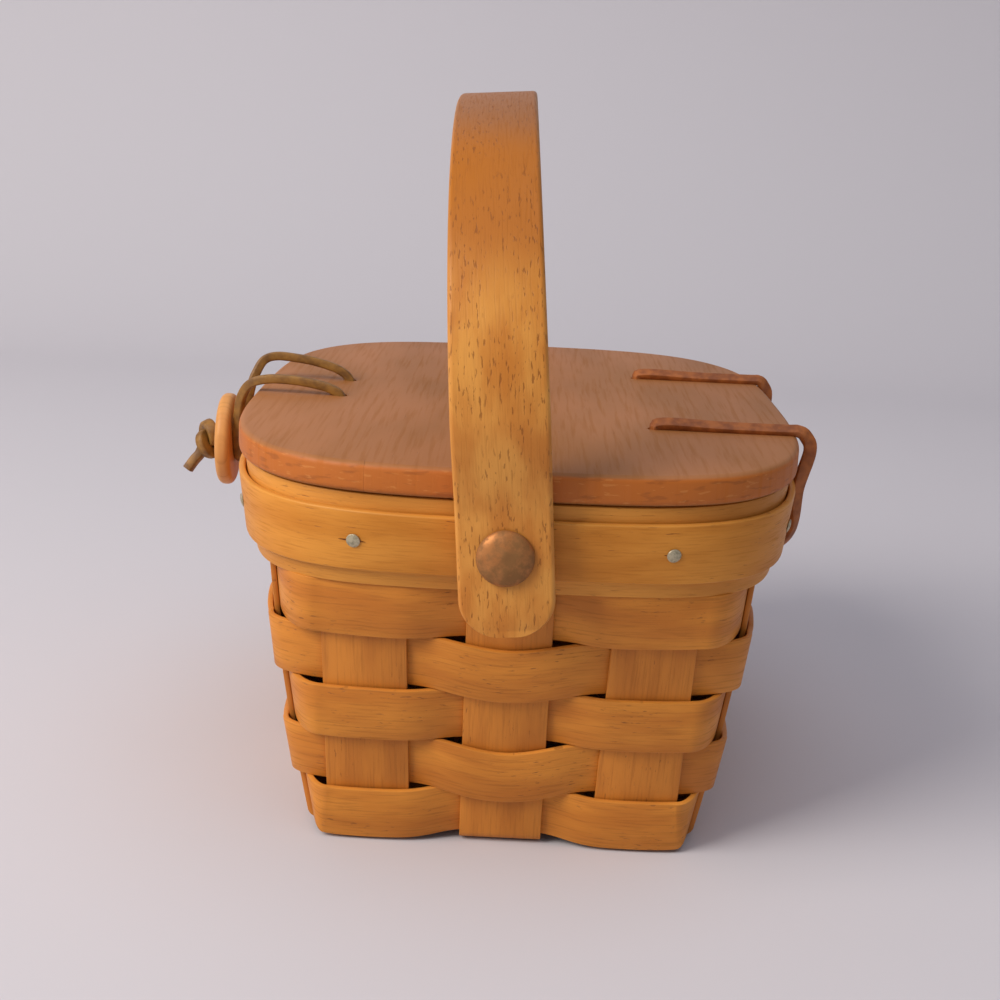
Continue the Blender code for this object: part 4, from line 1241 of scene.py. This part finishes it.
@dataclass
class RimTacks:
    """The twelve small tacks that hold the rim, and the splits beside their heads."""

    height: float = 72.8 * MM
    seat: float = 4.1 * MM
    head_radius: float = 1.45 * MM
    head_rise: float = 0.55 * MM
    dome_shares: tuple = (0.35, 0.6, 0.8, 0.93)
    rim_share: float = 0.45
    roll_share: float = 0.7
    shank: float = 0.5 * MM
    shank_length: float = 6.0 * MM
    point: float = 0.6 * MM
    sides: int = 20
    split_length: float = 4.4 * MM
    split_width: float = 0.26 * MM
    split_ends: tuple = (-0.62, 0.5)
    split_swell: tuple = (-0.3, 0.2)
    split_tip: float = 0.1 * MM
    split_depth: float = 0.1 * MM
    split_proud: float = 0.02 * MM
    split_uneven: float = 0.35
    seed: int = 4

    def sites(self) -> list[tuple[str, Vector, Vector]]:
        """CAD node, place on the trim's face and outward direction of each tack."""
        found = []
        for side, centres in PLAN.sides():
            skipped = PLAN.cross_pitch / 2 if side in ("near", "far") else 0.0
            tacked = [centre for centre in centres if abs(centre) > skipped]
            for index, centre in enumerate(tacked):
                spot, facing = PLAN.on_band(PLAN.on_strip(side, centre, 0.0, self.height)[0])
                facing = (facing - UP * PLAN.flare(side)).normalized()
                found.append((f"tack_{side}_{index + 1}", spot + facing * self.seat, facing))
        return found

    def tree(self, name: str, uneven_share: float) -> Tree:
        """Tree that sets one shape at each point, turned outward.

        Args:
            name: Name of the tree.
            uneven_share: How much the copies' lengths differ.

        Returns:
            The Geometry Nodes tree.
        """
        tree, given = start_tree(name, {"Sites": "Geometry", "Shape": "Object", "Seed": "Int"})
        shape = add_node(tree, "GeometryNodeObjectInfo", {"Object": given["Shape"]})
        facing = add_node(
            tree, "GeometryNodeInputNamedAttribute", {"Name": "facing"}, data_type="FLOAT_VECTOR")
        outward = add_node(
            tree, "FunctionNodeAlignRotationToVector", {"Vector": facing.outputs[0]}, axis="Z")
        level = add_node(
            tree, "FunctionNodeAlignRotationToVector",
            {"Rotation": outward.outputs[0], "Vector": UP}, axis="Y", pivot_axis="Z")
        uneven = add_node(
            tree, "FunctionNodeRandomValue",
            {2: 1.0 - uneven_share, 3: 1.0 + uneven_share, "Seed": given["Seed"]},
            data_type="FLOAT")
        size = add_node(tree, "ShaderNodeCombineXYZ", {0: uneven.outputs[1], 1: 1.0, 2: 1.0})
        placed = add_node(
            tree, "GeometryNodeInstanceOnPoints",
            {"Points": given["Sites"], "Instance": shape.outputs["Geometry"],
             "Rotation": level.outputs[0], "Scale": size.outputs[0]})
        end_tree(tree, placed.outputs[0], given["Material"])
        return tree

    def head(self) -> Solid:
        """A low domed head with a rolled edge, and its shank behind."""
        rim = self.head_rise * self.rim_share
        profile = [(0.0, self.head_rise)]
        profile += [
            (self.head_radius * s, rim + (self.head_rise - rim) * math.cos(s * math.pi / 2))
            for s in self.dome_shares
        ]
        profile += [
            (self.head_radius, rim * self.roll_share), (self.head_radius, 0.0),
            (self.shank, 0.0), (self.shank, -self.shank_length),
            (0.0, -self.shank_length - self.point),
        ]
        return lathe(profile, Vector(), UP, self.sides)

    def split(self) -> Solid:
        """A thin dark split in the grain, longer to one side."""
        bm = bmesh.new()
        half = self.split_width / 2
        left, right = (self.split_length * share for share in self.split_ends)
        start, end = (self.split_length * share for share in self.split_swell)
        outline = [
            (left, self.split_tip), (start, -half), (end, -half), (right, -self.split_tip),
            (end, half), (start, half),
        ]
        bottom = [bm.verts.new((x, y, -self.split_depth)) for x, y in outline]
        top = [bm.verts.new((x, y, self.split_proud)) for x, y in outline]
        bm.faces.new(bottom[::-1])
        bm.faces.new(top)
        for i in range(len(outline)):
            bm.faces.new((bottom[i - 1], bottom[i], top[i], top[i - 1]))
        return bm

    def build(self) -> None:
        """Make and settle the tacks and their splits."""
        nodes, spots, facings = zip(*self.sites())
        for name, shape, finish, share, slot, stands_for in (
            ("rim_tacks", self.head(), TACK_STEEL.build(), 0.0, "tack_steel", nodes),
            ("tack_splits", self.split(), SPLIT_WOOD.build(), self.split_uneven, "band", ()),
        ):
            model = mesh_piece(name + "_shape", shape, finish)
            values = {"Shape": model, "Seed": self.seed, "Material": finish}
            points = linked(name + "_points", wire_mesh(name + "_points", spots, facings))
            piece = grown_mesh(name, points, self.tree(name + "_set", share), values)
            bpy.data.objects.remove(model, do_unlink=True)
            settle(piece, "basket", slot, *stands_for)


@dataclass
class Handle:
    """The bentwood swing handle, standing with a slight lean."""

    section: Section = Section(19.0 * MM, 4.4 * MM, 1.0 * MM, 4)
    top_width: float = 17.4 * MM
    inner_y: float = 78.188 * MM
    tail: float = 16.2 * MM
    corner_radius: float = 7.5 * MM
    flat_top: float = 6.3 * MM
    leg: float = 27.8 * MM
    arch_rise: float = 57.0 * MM
    bow: float = 3.6 * MM
    arch_power: float = 2.3
    lean: float = -4.4 * DEGREE
    bore: float = 2.6 * MM
    end_steps: int = 14
    leg_steps: int = 14
    arch_steps: int = 96
    seed: int = 31

    def rows(self) -> list[tuple[float, float, float]]:
        """Middle line as (y, height above the pivot, half width) rows."""
        leg_y = self.inner_y + self.section.thickness / 2
        half = self.section.width / 2
        found = []
        for count in range(self.end_steps + 1):
            angle = math.pi / 2 * count / self.end_steps
            rise = self.corner_radius * (1.0 - math.cos(angle))
            width = half - self.corner_radius * (1.0 - math.sin(angle))
            found.append((leg_y, rise - self.tail, width))
        for count in range(self.leg_steps + 1):
            share = count / self.leg_steps
            rise = self.flat_top + (self.leg - self.flat_top) * share
            found.append((leg_y + self.bow * smooth_share(share), rise, half))
        mirrored = [(-y, rise, width) for y, rise, width in found[::-1]]
        span = leg_y + self.bow
        for count in range(1, self.arch_steps):
            angle = math.pi * count / self.arch_steps
            cosine = math.cos(angle)
            y = math.copysign(abs(cosine) ** (2.0 / self.arch_power), cosine) * span
            rise = math.sin(angle) ** (2.0 / self.arch_power)
            narrowed = half + (self.top_width / 2 - half) * rise
            found.append((y, self.leg + rise * self.arch_rise, narrowed))
        return found + mirrored

    def build(self, sweeper: StripSweeper) -> None:
        """Make and settle the handle."""
        stand = Matrix.Translation(PIVOT) @ Matrix.Rotation(self.lean, 4, "Y")
        low = [stand @ Vector((-width, y, rise)) for y, rise, width in self.rows()]
        high = [stand @ Vector((width, y, rise)) for y, rise, width in self.rows()]
        path = Path.between_edges(low, high, self.section.width)
        finish = HANDLE_WOOD.build()
        piece = sweeper.strip("bent_handle", path, self.section, finish, self.seed)
        reach = Vector((0.0, self.inner_y + self.section.thickness * 2, 0.0))
        bore(piece, Vector(PIVOT) - reach, Vector(PIVOT) + reach, self.bore)
        settle(piece, "handle", "handle_wood", "handle")


def bore(piece: Piece, start: Vector, end: Vector, radius: float) -> None:
    """Bore a round hole through a piece, between two points.

    Args:
        piece: The piece; its mesh is replaced.
        start: One end of the drill.
        end: The other end.
        radius: Radius of the hole.
    """
    bm = bmesh.new()
    span = end - start
    turn = UP.rotation_difference(span).to_matrix().to_4x4()
    bmesh.ops.create_cone(
        bm, cap_ends=True, segments=24, radius1=radius, radius2=radius, depth=span.length,
        matrix=Matrix.Translation((start + end) / 2) @ turn)
    drill = mesh_piece(piece.name + "_drill", bm, piece.data.materials[0])
    cut = piece.modifiers.new("bore", "BOOLEAN")
    cut.operation = "DIFFERENCE"
    cut.solver = "EXACT"
    cut.object = drill
    mesh = applied(piece, cut)
    carry_grain(piece.data, mesh)
    piece.data = mesh
    bpy.data.objects.remove(drill, do_unlink=True)
    shaded(piece)


def carry_grain(before: bpy.types.Mesh, after: bpy.types.Mesh) -> None:
    """Give a bored mesh the grain that the surface had before.

    Args:
        before: The mesh with its grain attributes.
        after: The bored mesh, whose new points have none.
    """
    names = [name for name in STRIP_MARKS if name in before.attributes]
    if not names:
        return
    corners = [vert.co for vert in before.vertices]
    faces = [tuple(face.vertices) for face in before.polygons]
    surface = BVHTree.FromPolygons(corners, faces)
    kept = {name: [item.value for item in before.attributes[name].data] for name in names}
    for vert in after.vertices:
        spot, _, index, _ = surface.find_nearest(vert.co)
        shares = poly_3d_calc([corners[i] for i in faces[index]], spot)
        for name in names:
            value = sum(s * kept[name][i] for s, i in zip(shares, faces[index]))
            after.attributes[name].data[vert.index].value = value


@dataclass
class Rivets:
    """The two copper rivets that the handle turns on, with their burrs inside."""

    shank: float = 2.4 * MM
    head_radius: float = 5.7 * MM
    head_rise: float = 2.2 * MM
    head_steps: int = 14
    seat: float = 82.888 * MM
    beaten: float = 0.16 * MM
    burr_seat: float = 68.12 * MM
    burr_radius: float = 4.4 * MM
    burr_thickness: float = 1.0 * MM
    burr_edge: float = 0.3 * MM
    burr_slack: float = 0.2 * MM
    peen_radius: float = 3.2 * MM
    peen_rise: float = 0.9 * MM
    peen_steps: int = 6
    sides: int = 56

    def head_profile(self) -> list[tuple[float, float]]:
        """A low dome with a soft rim, then the shank and the peened end."""
        dome = [
            (self.head_radius * math.sin(a), self.seat + self.head_rise * math.cos(a))
            for a in (math.pi / 2 * k / self.head_steps for k in range(self.head_steps))
        ]
        tail = self.burr_seat - self.burr_thickness - TOUCH_GAP
        peen = [
            (self.peen_radius * math.cos(a), tail - self.peen_rise * math.sin(a))
            for a in (math.pi / 2 * k / self.peen_steps for k in range(self.peen_steps))
        ]
        return [*dome, (self.head_radius, self.seat), (self.shank, self.seat),
                (self.shank, tail), *peen, (0.0, tail - self.peen_rise)]

    def burr_profile(self) -> list[tuple[float, float]]:
        """The washer under the peened end."""
        inner, low = self.shank + self.burr_slack, self.burr_seat - self.burr_thickness
        middle = (self.burr_radius - self.burr_edge, low + self.burr_edge)
        return [(inner, self.burr_seat), (self.burr_radius, self.burr_seat),
                *arc(middle, self.burr_edge, 0.0, -90.0, 3),
                (inner, low), (inner, self.burr_seat)]

    def build(self) -> None:
        """Make and settle the rivets and burrs."""
        finish = COPPER.build()
        for word, sign in (("near", -1.0), ("far", 1.0)):
            axis = Vector((0.0, sign, 0.0))
            for kind, profile, dent in (
                ("rivet", self.head_profile(), self.beaten), ("burr", self.burr_profile(), 0.0)
            ):
                bm = lathe(profile, Vector(PIVOT), axis, self.sides, dent)
                piece = mesh_piece(f"copper_{kind}_{word}", bm, finish)
                settle(piece, "basket", "rivet_copper", f"{kind}_{word}")


@dataclass
class Lid:
    """The flat board lid with eased edges and four lace holes."""

    half_x: float = 62.77 * MM
    half_y: float = 77.82 * MM
    low_z: float = 82.0 * MM
    thickness: float = 6.2 * MM
    edge_radius: float = 1.4 * MM
    edge_steps: int = 5
    power: float = 3.5
    hole_radius: float = 1.45 * MM
    hinge_hole: tuple = (29.97 * MM, 31.33 * MM)
    loop_hole: tuple = (-42.27 * MM, 9.9 * MM)
    points: int = 220
    unevenness: float = 0.18 * MM
    uneven_mm: float = 19.0

    def outline(self, inset: float, z: float) -> list[Vector]:
        """One loop round the lid, set in from its edge."""
        loop = []
        for count in range(self.points):
            angle = math.tau * count / self.points
            x, y = (
                math.copysign(abs(part) ** (2.0 / self.power), part)
                for part in (math.cos(angle), math.sin(angle)))
            spot = Vector((x * self.half_x, y * self.half_y, 0.0))
            worn = self.unevenness * (noise.noise(spot * per_size(self.uneven_mm)) - 0.5)
            grown = -inset + min(worn, 0.0)
            loop.append(Vector((x * (self.half_x + grown), y * (self.half_y + grown), z)))
        return loop

    def build(self) -> None:
        """Make and settle the lid."""
        radius, top = self.edge_radius, self.low_z + self.thickness
        edge = arc((radius, radius), radius, 270.0, 180.0, self.edge_steps)
        edge += [(inset, self.thickness - rise) for inset, rise in edge[::-1]]
        bm = bmesh.new()
        loops = [
            [bm.verts.new(p) for p in self.outline(inset, self.low_z + rise)]
            for inset, rise in edge
        ]
        for one, two in zip(loops, loops[1:]):
            for i in range(self.points):
                bm.faces.new((one[i - 1], one[i], two[i], two[i - 1]))
        bm.faces.new(loops[0][::-1])
        bm.faces.new(loops[-1])
        piece = mesh_piece("lid_board", bm, LID_WOOD.build())
        for x, y in (self.hinge_hole, self.loop_hole):
            for side in (-y, y):
                low, high = Vector((x, side, self.low_z - MM)), Vector((x, side, top + MM))
                bore(piece, low, high, self.hole_radius)
        settle(piece, "lid", "lid_wood", "lid")


def eased_route(points: list[Vector], step: float) -> list[Vector]:
    """Points along a smooth curve through the points of a route.

    Args:
        points: The route's own points.
        step: Distance between the new points.

    Returns:
        The curve's points.
    """
    ends = [points[0] * 2 - points[1], *points, points[-1] * 2 - points[-2]]
    route = []
    for a, b, c, d in zip(ends, ends[1:], ends[2:], ends[3:]):
        count = max(2, round((c - b).length / step))
        for k in range(count):
            t = k / count
            spot = b * 2 + (c - a) * t
            spot += (a * 2 - b * 5 + c * 4 - d) * (t * t)
            spot += (b * 3 - a - c * 3 + d) * (t * t * t)
            route.append(spot / 2)
    return [*route, points[-1]]


def lace_path(
    points: list[Vector], facing: Vector, twists: dict[int, float], step: float
) -> Path:
    """Path of a lace whose flat side is carried along without turning, then twisted.

    Args:
        points: The route's own points.
        facing: Direction of its flat side at the start.
        twists: Twist in degrees at some of the route's points; 0 at the others.
        step: Distance between the path's points.

    Returns:
        The path.
    """
    route = eased_route(points, step)
    marks = [min(range(len(route)), key=lambda i, p=p: (route[i] - p).length) for p in points]
    angles = [twists.get(k, 0.0) * DEGREE for k in range(len(points))]
    facings = []
    carried = facing
    part = 0
    for i in range(len(route)):
        ahead = route[min(i + 1, len(route) - 1)] - route[max(i - 1, 0)]
        tangent = ahead.normalized()
        carried = (carried - tangent * carried.dot(tangent)).normalized()
        while part < len(points) - 2 and i >= marks[part + 1]:
            part += 1
        span = max(marks[part + 1] - marks[part], 1)
        share = smooth_share((i - marks[part]) / span)
        angle = angles[part] + (angles[part + 1] - angles[part]) * share
        facings.append(Matrix.Rotation(angle, 3, tangent) @ carried)
    return Path(route, facings, [1.0] * len(route))


def overhand(
    centre: Vector, axis: Vector, size: float, depth: float = 1.05, steps: int = 22
) -> list[Vector]:
    """Route of an overhand knot, entered along its axis.

    Args:
        centre: Middle of the knot.
        axis: Direction in which the lace enters and its tail leaves.
        size: Distance from the axis to the middle of the outer wraps.
        depth: How deep the knot is along its axis, next to its wraps.
        steps: Number of points.

    Returns:
        Points from the first wrap to the last.
    """
    ring, wrap, opening = size * 0.63, size * 0.37, 0.22
    across = axis.orthogonal().normalized()
    other = axis.cross(across)
    route = []
    for count in range(steps + 1):
        t = math.pi / 3 + opening + (math.tau - 2.0 * opening) * count / steps
        reach = ring + wrap * math.cos(3.0 * t)
        spot = across * (reach * math.cos(2.0 * t)) + other * (reach * math.sin(2.0 * t))
        route.append(centre + spot + axis * (wrap * depth * math.sin(3.0 * t)))
    return route


@dataclass
class Laces:
    """The leather laces: two hinges, the loop and the one that holds the knob.

    The routes' places are in mm, but for the bends. A hinge lace lies in one upright
    plane, so its route is in (x, z) pairs. Its twists are degrees by point of the
    route, counted from the hole in the lid.
    """

    hinge_section: Section = Section(2.9 * MM, 1.7 * MM, 0.4 * MM, 2)
    cord_section: Section = Section(2.35 * MM, 2.1 * MM, 0.6 * MM, 3)
    knob_section: Section = Section(2.7 * MM, 2.3 * MM, 0.6 * MM, 3)
    hinge_seed: int = 41
    loop_seed: int = 43
    knob_seed: int = 44
    step: float = 0.55 * MM
    knot_size: float = 2.75 * MM
    knob_knot_size: float = 3.75 * MM
    knob_knot_depth: float = 1.15
    lid_top: float = 88.2
    lid_low: float = 82.0
    knot_z: float = 79.3
    tail_z: float = 75.7
    lift: float = 0.08
    slot_z: float = 62.25
    hinge_inset: float = 5.8
    hinge_fall: tuple = ((62.9, 76.0), (62.3, 66.4), (57.6, 62.25))
    hinge_twists: tuple = ((6, 25.0), (7, 68.0), (8, 35.0))
    hinge_bend: tuple = ((58.0 * MM, 89.0 * MM), (64.0 * MM, 79.0 * MM))
    grip: tuple = (-67.55, 4.4, 74.1)
    loop_near: tuple = (
        (-42.3, -9.9, 87.8), (-45.0, -9.9, 89.7), (-49.7, -9.8, 90.8), (-55.0, -9.6, 91.3),
        (-60.0, -9.2, 91.1), (-64.0, -8.6, 89.7), (-66.2, -7.6, 86.4), (-67.1, -6.4, 82.2),
        (-67.5, -5.6, 77.8),
    )
    loop_far: tuple = (
        (-67.4, 5.4, 80.0), (-66.3, 6.2, 86.6), (-65.3, 7.0, 89.6), (-63.6, 8.4, 92.5),
        (-60.6, 9.2, 93.5), (-56.0, 9.6, 93.2), (-50.9, 9.8, 92.4), (-45.2, 9.9, 90.6),
        (-42.3, 9.9, 87.8),
    )
    loop_bend: Bend = Bend("lid", (-58.5 * MM, 0.0, 90.0 * MM), (-66.0 * MM, 0.0, 88.0 * MM))
    knob_z: float = 74.2
    knob_inset: float = 5.9
    knob_through: tuple = (-56.0, -62.0, -68.0, -72.4)
    knob_knot: tuple = (-75.4, 0.0, 73.9)
    knob_tail: tuple = ((-77.4, -1.2, 70.8), (-78.9, -1.9, 68.8), (-80.4, -2.4, 66.6))
    tail_reach: float = 3.8

    def inside(self, height: float, inset: float) -> float:
        """How far out a knot lies that is set in from the wall, in mm."""
        return PLAN.sizes(height * MM)[0] / MM - inset

    def under_lid(self, x: float, y: float, tail_y: float) -> list[Vector]:
        """Route down from a lid hole, round its knot and to the tail's end."""
        wraps = overhand(Vector((x, y, self.knot_z * MM)), -UP, self.knot_size)
        return [*wraps, Vector((x, tail_y, self.tail_z * MM))]

    def hinge(self, sign: float, slack: float) -> tuple[list[Vector], dict[int, float]]:
        """Route of a hinge lace and its twist over the edge.

        Args:
            sign: -1 for the near lace and 1 for the far one.
            slack: How much further out it bulges than the lid's edge needs, in mm.

        Returns:
            The route's points, and twists in degrees by point number.
        """
        hole, y = Lid.hinge_hole[0] / MM, sign * Lid.hinge_hole[1]
        top = self.lid_top + self.hinge_section.thickness / 2 / MM + self.lift
        start = self.under_lid(Lid.hinge_hole[0], y, y + 0.6 * MM)[::-1]
        over = [
            (hole, self.lid_low + 1.0), (hole + 0.1, self.lid_top - 0.4),
            (hole + 2.0, top + 0.3), (46.0, top), (59.2, top), (61.9, self.lid_top + 0.95),
            (63.5 + slack, 88.0), (64.7 + slack, 84.7), *self.hinge_fall,
        ]
        knot = Vector((self.inside(self.slot_z, self.hinge_inset) * MM, y, self.slot_z * MM))
        end = overhand(knot, -RIGHT, self.knot_size)
        out = knot - RIGHT * self.tail_reach * MM - UP * 0.8 * MM
        twists = {len(start) + number: angle for number, angle in self.hinge_twists}
        return [*start, *(Vector((x * MM, y, z * MM)) for x, z in over), *end, out], twists

    def loop(self) -> list[Vector]:
        """Route of the loop, from its near knot under the lid to its far one."""
        hole_x, hole_y = Lid.loop_hole
        x, reach, z = self.grip
        slant = reach * 0.71
        around = [
            *self.loop_near, (x, -reach, z - 0.3), (x, -slant, z - slant), (x, 0.0, z - reach),
            (x, slant, z - slant), (x, reach, z + 0.3), *self.loop_far,
        ]
        near, far = (
            [Vector((hole_x, y, (self.lid_low + 1.0) * MM)), *self.under_lid(hole_x, y, tail_y)]
            for y, tail_y in ((-hole_y, MM - hole_y), (hole_y, hole_y - MM)))
        return [*near[::-1], *(Vector(point) * MM for point in around), *far]

    def knob_cord(self) -> list[Vector]:
        """Route of the knob's lace: knot inside, through rim and knob, knot outside."""
        inside = -self.inside(self.knob_z, self.knob_inset)
        inner = overhand(Vector((inside, 0.0, self.knob_z)) * MM, RIGHT, self.knot_size)
        outer = overhand(
            Vector(self.knob_knot) * MM, -RIGHT, self.knob_knot_size, self.knob_knot_depth)
        start = (inside + self.tail_reach, 0.0, self.knob_z - 1.0)
        through = [Vector((x, 0.0, self.knob_z)) * MM for x in self.knob_through]
        tail = [Vector(point) * MM for point in self.knob_tail]
        return [Vector(start) * MM, *inner[::-1], *through, *outer, *tail]

    def build(self, sweeper: StripSweeper) -> None:
        """Make and settle the laces."""
        tan, olive = LACE_LEATHER.build(), LOOP_LEATHER.build()
        for word, sign, slack in (("near", -1.0, 0.2), ("far", 1.0, -0.3)):
            route, twists = self.hinge(sign, slack)
            path = lace_path(route, RIGHT, twists, self.step)
            name = f"hinge_thong_{word}"
            piece = sweeper.strip(name, path, self.hinge_section, tan, self.hinge_seed)
            y = sign * Lid.hinge_hole[1]
            bend = Bend("lid", *((x, y, z) for x, z in self.hinge_bend))
            settle(piece, "basket", "lace_leather", f"hinge_lace_{word}", bend=bend)
        path = lace_path(self.loop(), RIGHT, {}, self.step)
        piece = sweeper.strip("loop_thong", path, self.cord_section, olive, self.loop_seed)
        settle(piece, "loop", "loop_leather", "loop_lace", bend=self.loop_bend)
        path = lace_path(self.knob_cord(), UP, {}, self.step)
        piece = sweeper.strip("knob_thong", path, self.knob_section, olive, self.knob_seed)
        settle(piece, "basket", "loop_leather", "knob_lace")


@dataclass
class Knob:
    """The turned knob: a disc on a narrow neck, bored for its lace."""

    middle: tuple = (-66.6 * MM, 0.0, 74.2 * MM)
    tilt: float = 1.5 * DEGREE
    seat: float = -3.75 * MM
    back: float = 2.45 * MM
    neck_radius: float = 2.7 * MM
    neck_fillet: float = 1.0 * MM
    disc: float = 3.6 * MM
    radius: float = 11.1 * MM
    bore_radius: float = 1.45 * MM
    bore_lip: tuple = (0.8 * MM, 0.9 * MM, 0.3 * MM)
    flat_share: float = 0.5
    edge_radius: float = 1.5 * MM
    edge_start: float = 84.0
    edge_steps: int = 6
    sides: int = 72

    def build(self) -> None:
        """Make and settle the knob, tilted a little on its lace."""
        front = self.back + self.disc
        inner = self.radius - self.edge_radius
        widened, deep, shallow = self.bore_lip
        bored = (self.bore_radius, front - deep)
        profile = [
            bored, (self.bore_radius + widened, front - shallow),
            (self.radius * self.flat_share, front),
            *arc((inner, front - self.edge_radius), self.edge_radius, self.edge_start, 0.0,
                 self.edge_steps),
            *arc((inner, self.back + self.edge_radius), self.edge_radius, 0.0, -90.0,
                 self.edge_steps),
            (self.neck_radius + self.neck_fillet, self.back),
            (self.neck_radius, self.back - self.neck_fillet),
            (self.neck_radius, self.seat), (self.bore_radius, self.seat), bored,
        ]
        axis = Vector((-math.cos(self.tilt), -math.sin(self.tilt), 0.0))
        bm = lathe(profile, Vector(self.middle), axis, self.sides)
        piece = mesh_piece("turned_knob", bm, KNOB_WOOD.build())
        settle(piece, "knob", "knob_wood", "knob")


@dataclass(frozen=True)
class PaperFinish(Finish):
    """Plain matte paper, without any sheen."""

    tone: str

    def looks(self, tree: Tree) -> dict[str, Socket | float]:
        """Inputs of the shader, by name."""
        return {"Base Color": linear(self.tone), "Roughness": 0.9, "Specular IOR Level": 0.1}


@dataclass(frozen=True)
class Lamp:
    """A soft square lamp."""

    name: str
    place: tuple[float, float, float]
    size: float
    watts: float
    tint: str

    def build(self, aim: Vector) -> None:
        """Add the lamp, turned to a point."""
        data = bpy.data.lights.new(self.name, "AREA")
        data.size = self.size
        data.energy = self.watts
        data.color = linear(self.tint)[:3]
        turn = (aim - Vector(self.place)).to_track_quat("-Z", "Y").to_matrix().to_4x4()
        linked(self.name, data).matrix_world = Matrix.Translation(self.place) @ turn


@dataclass
class Studio:
    """Camera, soft light and a plain pale sweep."""

    camera_place: tuple = (-0.3 * MM, -365.6 * MM, 158.8 * MM)
    yaw: float = -0.55 * DEGREE
    pitch: float = 14.85 * DEGREE
    roll: float = 2.58 * DEGREE
    lens_mm: float = 55.25
    sensor_mm: float = 36.0
    clip_start: float = 0.01
    paper: Finish = PaperFinish("matte_paper", "#CDCACF")
    wall_y: float = 0.75
    wall_bend: float = 0.25
    bend_steps: int = 16
    reach: float = 2.4
    aim: tuple = (0.0, 0.0, 0.07)
    lamps: tuple[Lamp, ...] = (
        Lamp("window", (-0.85, -0.55, 0.80), 0.7, 15.0, "#FFF8F0"),
        Lamp("sky", (0.15, -0.20, 1.25), 1.1, 4.0, "#F4F6FF"),
    )
    ambient: float = 0.30
    ambient_tint: str = "#F2F2FA"

    def camera(self) -> None:
        """Set the camera at the photograph's viewing angle."""
        right = Vector((math.cos(self.yaw), -math.sin(self.yaw), 0.0))
        ahead = Vector((math.sin(self.yaw), math.cos(self.yaw), 0.0))
        look = ahead * math.cos(self.pitch) - UP * math.sin(self.pitch)
        above = UP * math.cos(self.pitch) + ahead * math.sin(self.pitch)
        side = right * math.cos(self.roll) + above * math.sin(self.roll)
        over = above * math.cos(self.roll) - right * math.sin(self.roll)
        data = bpy.data.cameras.new("camera")
        data.lens = self.lens_mm
        data.sensor_width = self.sensor_mm
        data.sensor_fit = "HORIZONTAL"
        data.clip_start = self.clip_start
        made = linked("camera", data)
        turn = Matrix((side, over, -look)).transposed()
        made.matrix_world = Matrix.Translation(self.camera_place) @ turn.to_4x4()
        bpy.context.scene.camera = made

    def sweep(self) -> None:
        """A floor that bends up into a wall behind."""
        start = self.wall_y - self.wall_bend
        profile = [(-self.reach, 0.0), (start, 0.0)]
        for count in range(1, self.bend_steps + 1):
            angle = math.pi / 2 * count / self.bend_steps
            profile.append((start + self.wall_bend * math.sin(angle),
                            self.wall_bend * (1.0 - math.cos(angle))))
        profile.append((self.wall_y, self.reach))
        bm = bmesh.new()
        left, right = (
            [bm.verts.new((x, y, z)) for y, z in profile] for x in (-self.reach, self.reach))
        for i in range(len(profile) - 1):
            bm.faces.new((left[i], right[i], right[i + 1], left[i + 1]))
        mesh_piece("paper_sweep", bm, self.paper.build())

    def build(self) -> None:
        """Set the stage."""
        self.camera()
        self.sweep()
        for lamp in self.lamps:
            lamp.build(Vector(self.aim))
        world = bpy.data.worlds.new("room")
        world.use_nodes = True
        back = world.node_tree.nodes["Background"]
        back.inputs["Color"].default_value = linear(self.ambient_tint)
        back.inputs["Strength"].default_value = self.ambient
        bpy.context.scene.world = world
        bpy.context.scene.view_settings.view_transform = "Standard"


def main() -> None:
    """Load the frame and dress it."""
    logging.basicConfig(level=logging.INFO, format="%(name)s: %(message)s")
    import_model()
    Studio().build()
    sweeper = StripSweeper()
    Uprights().build(sweeper)
    WeaverRows().build(sweeper)
    RimBands().build(sweeper)
    RimTacks().build()
    Handle().build(sweeper)
    Rivets().build()
    Lid().build()
    Laces().build(sweeper)
    Knob().build()


if __name__ == "__main__":
    main()
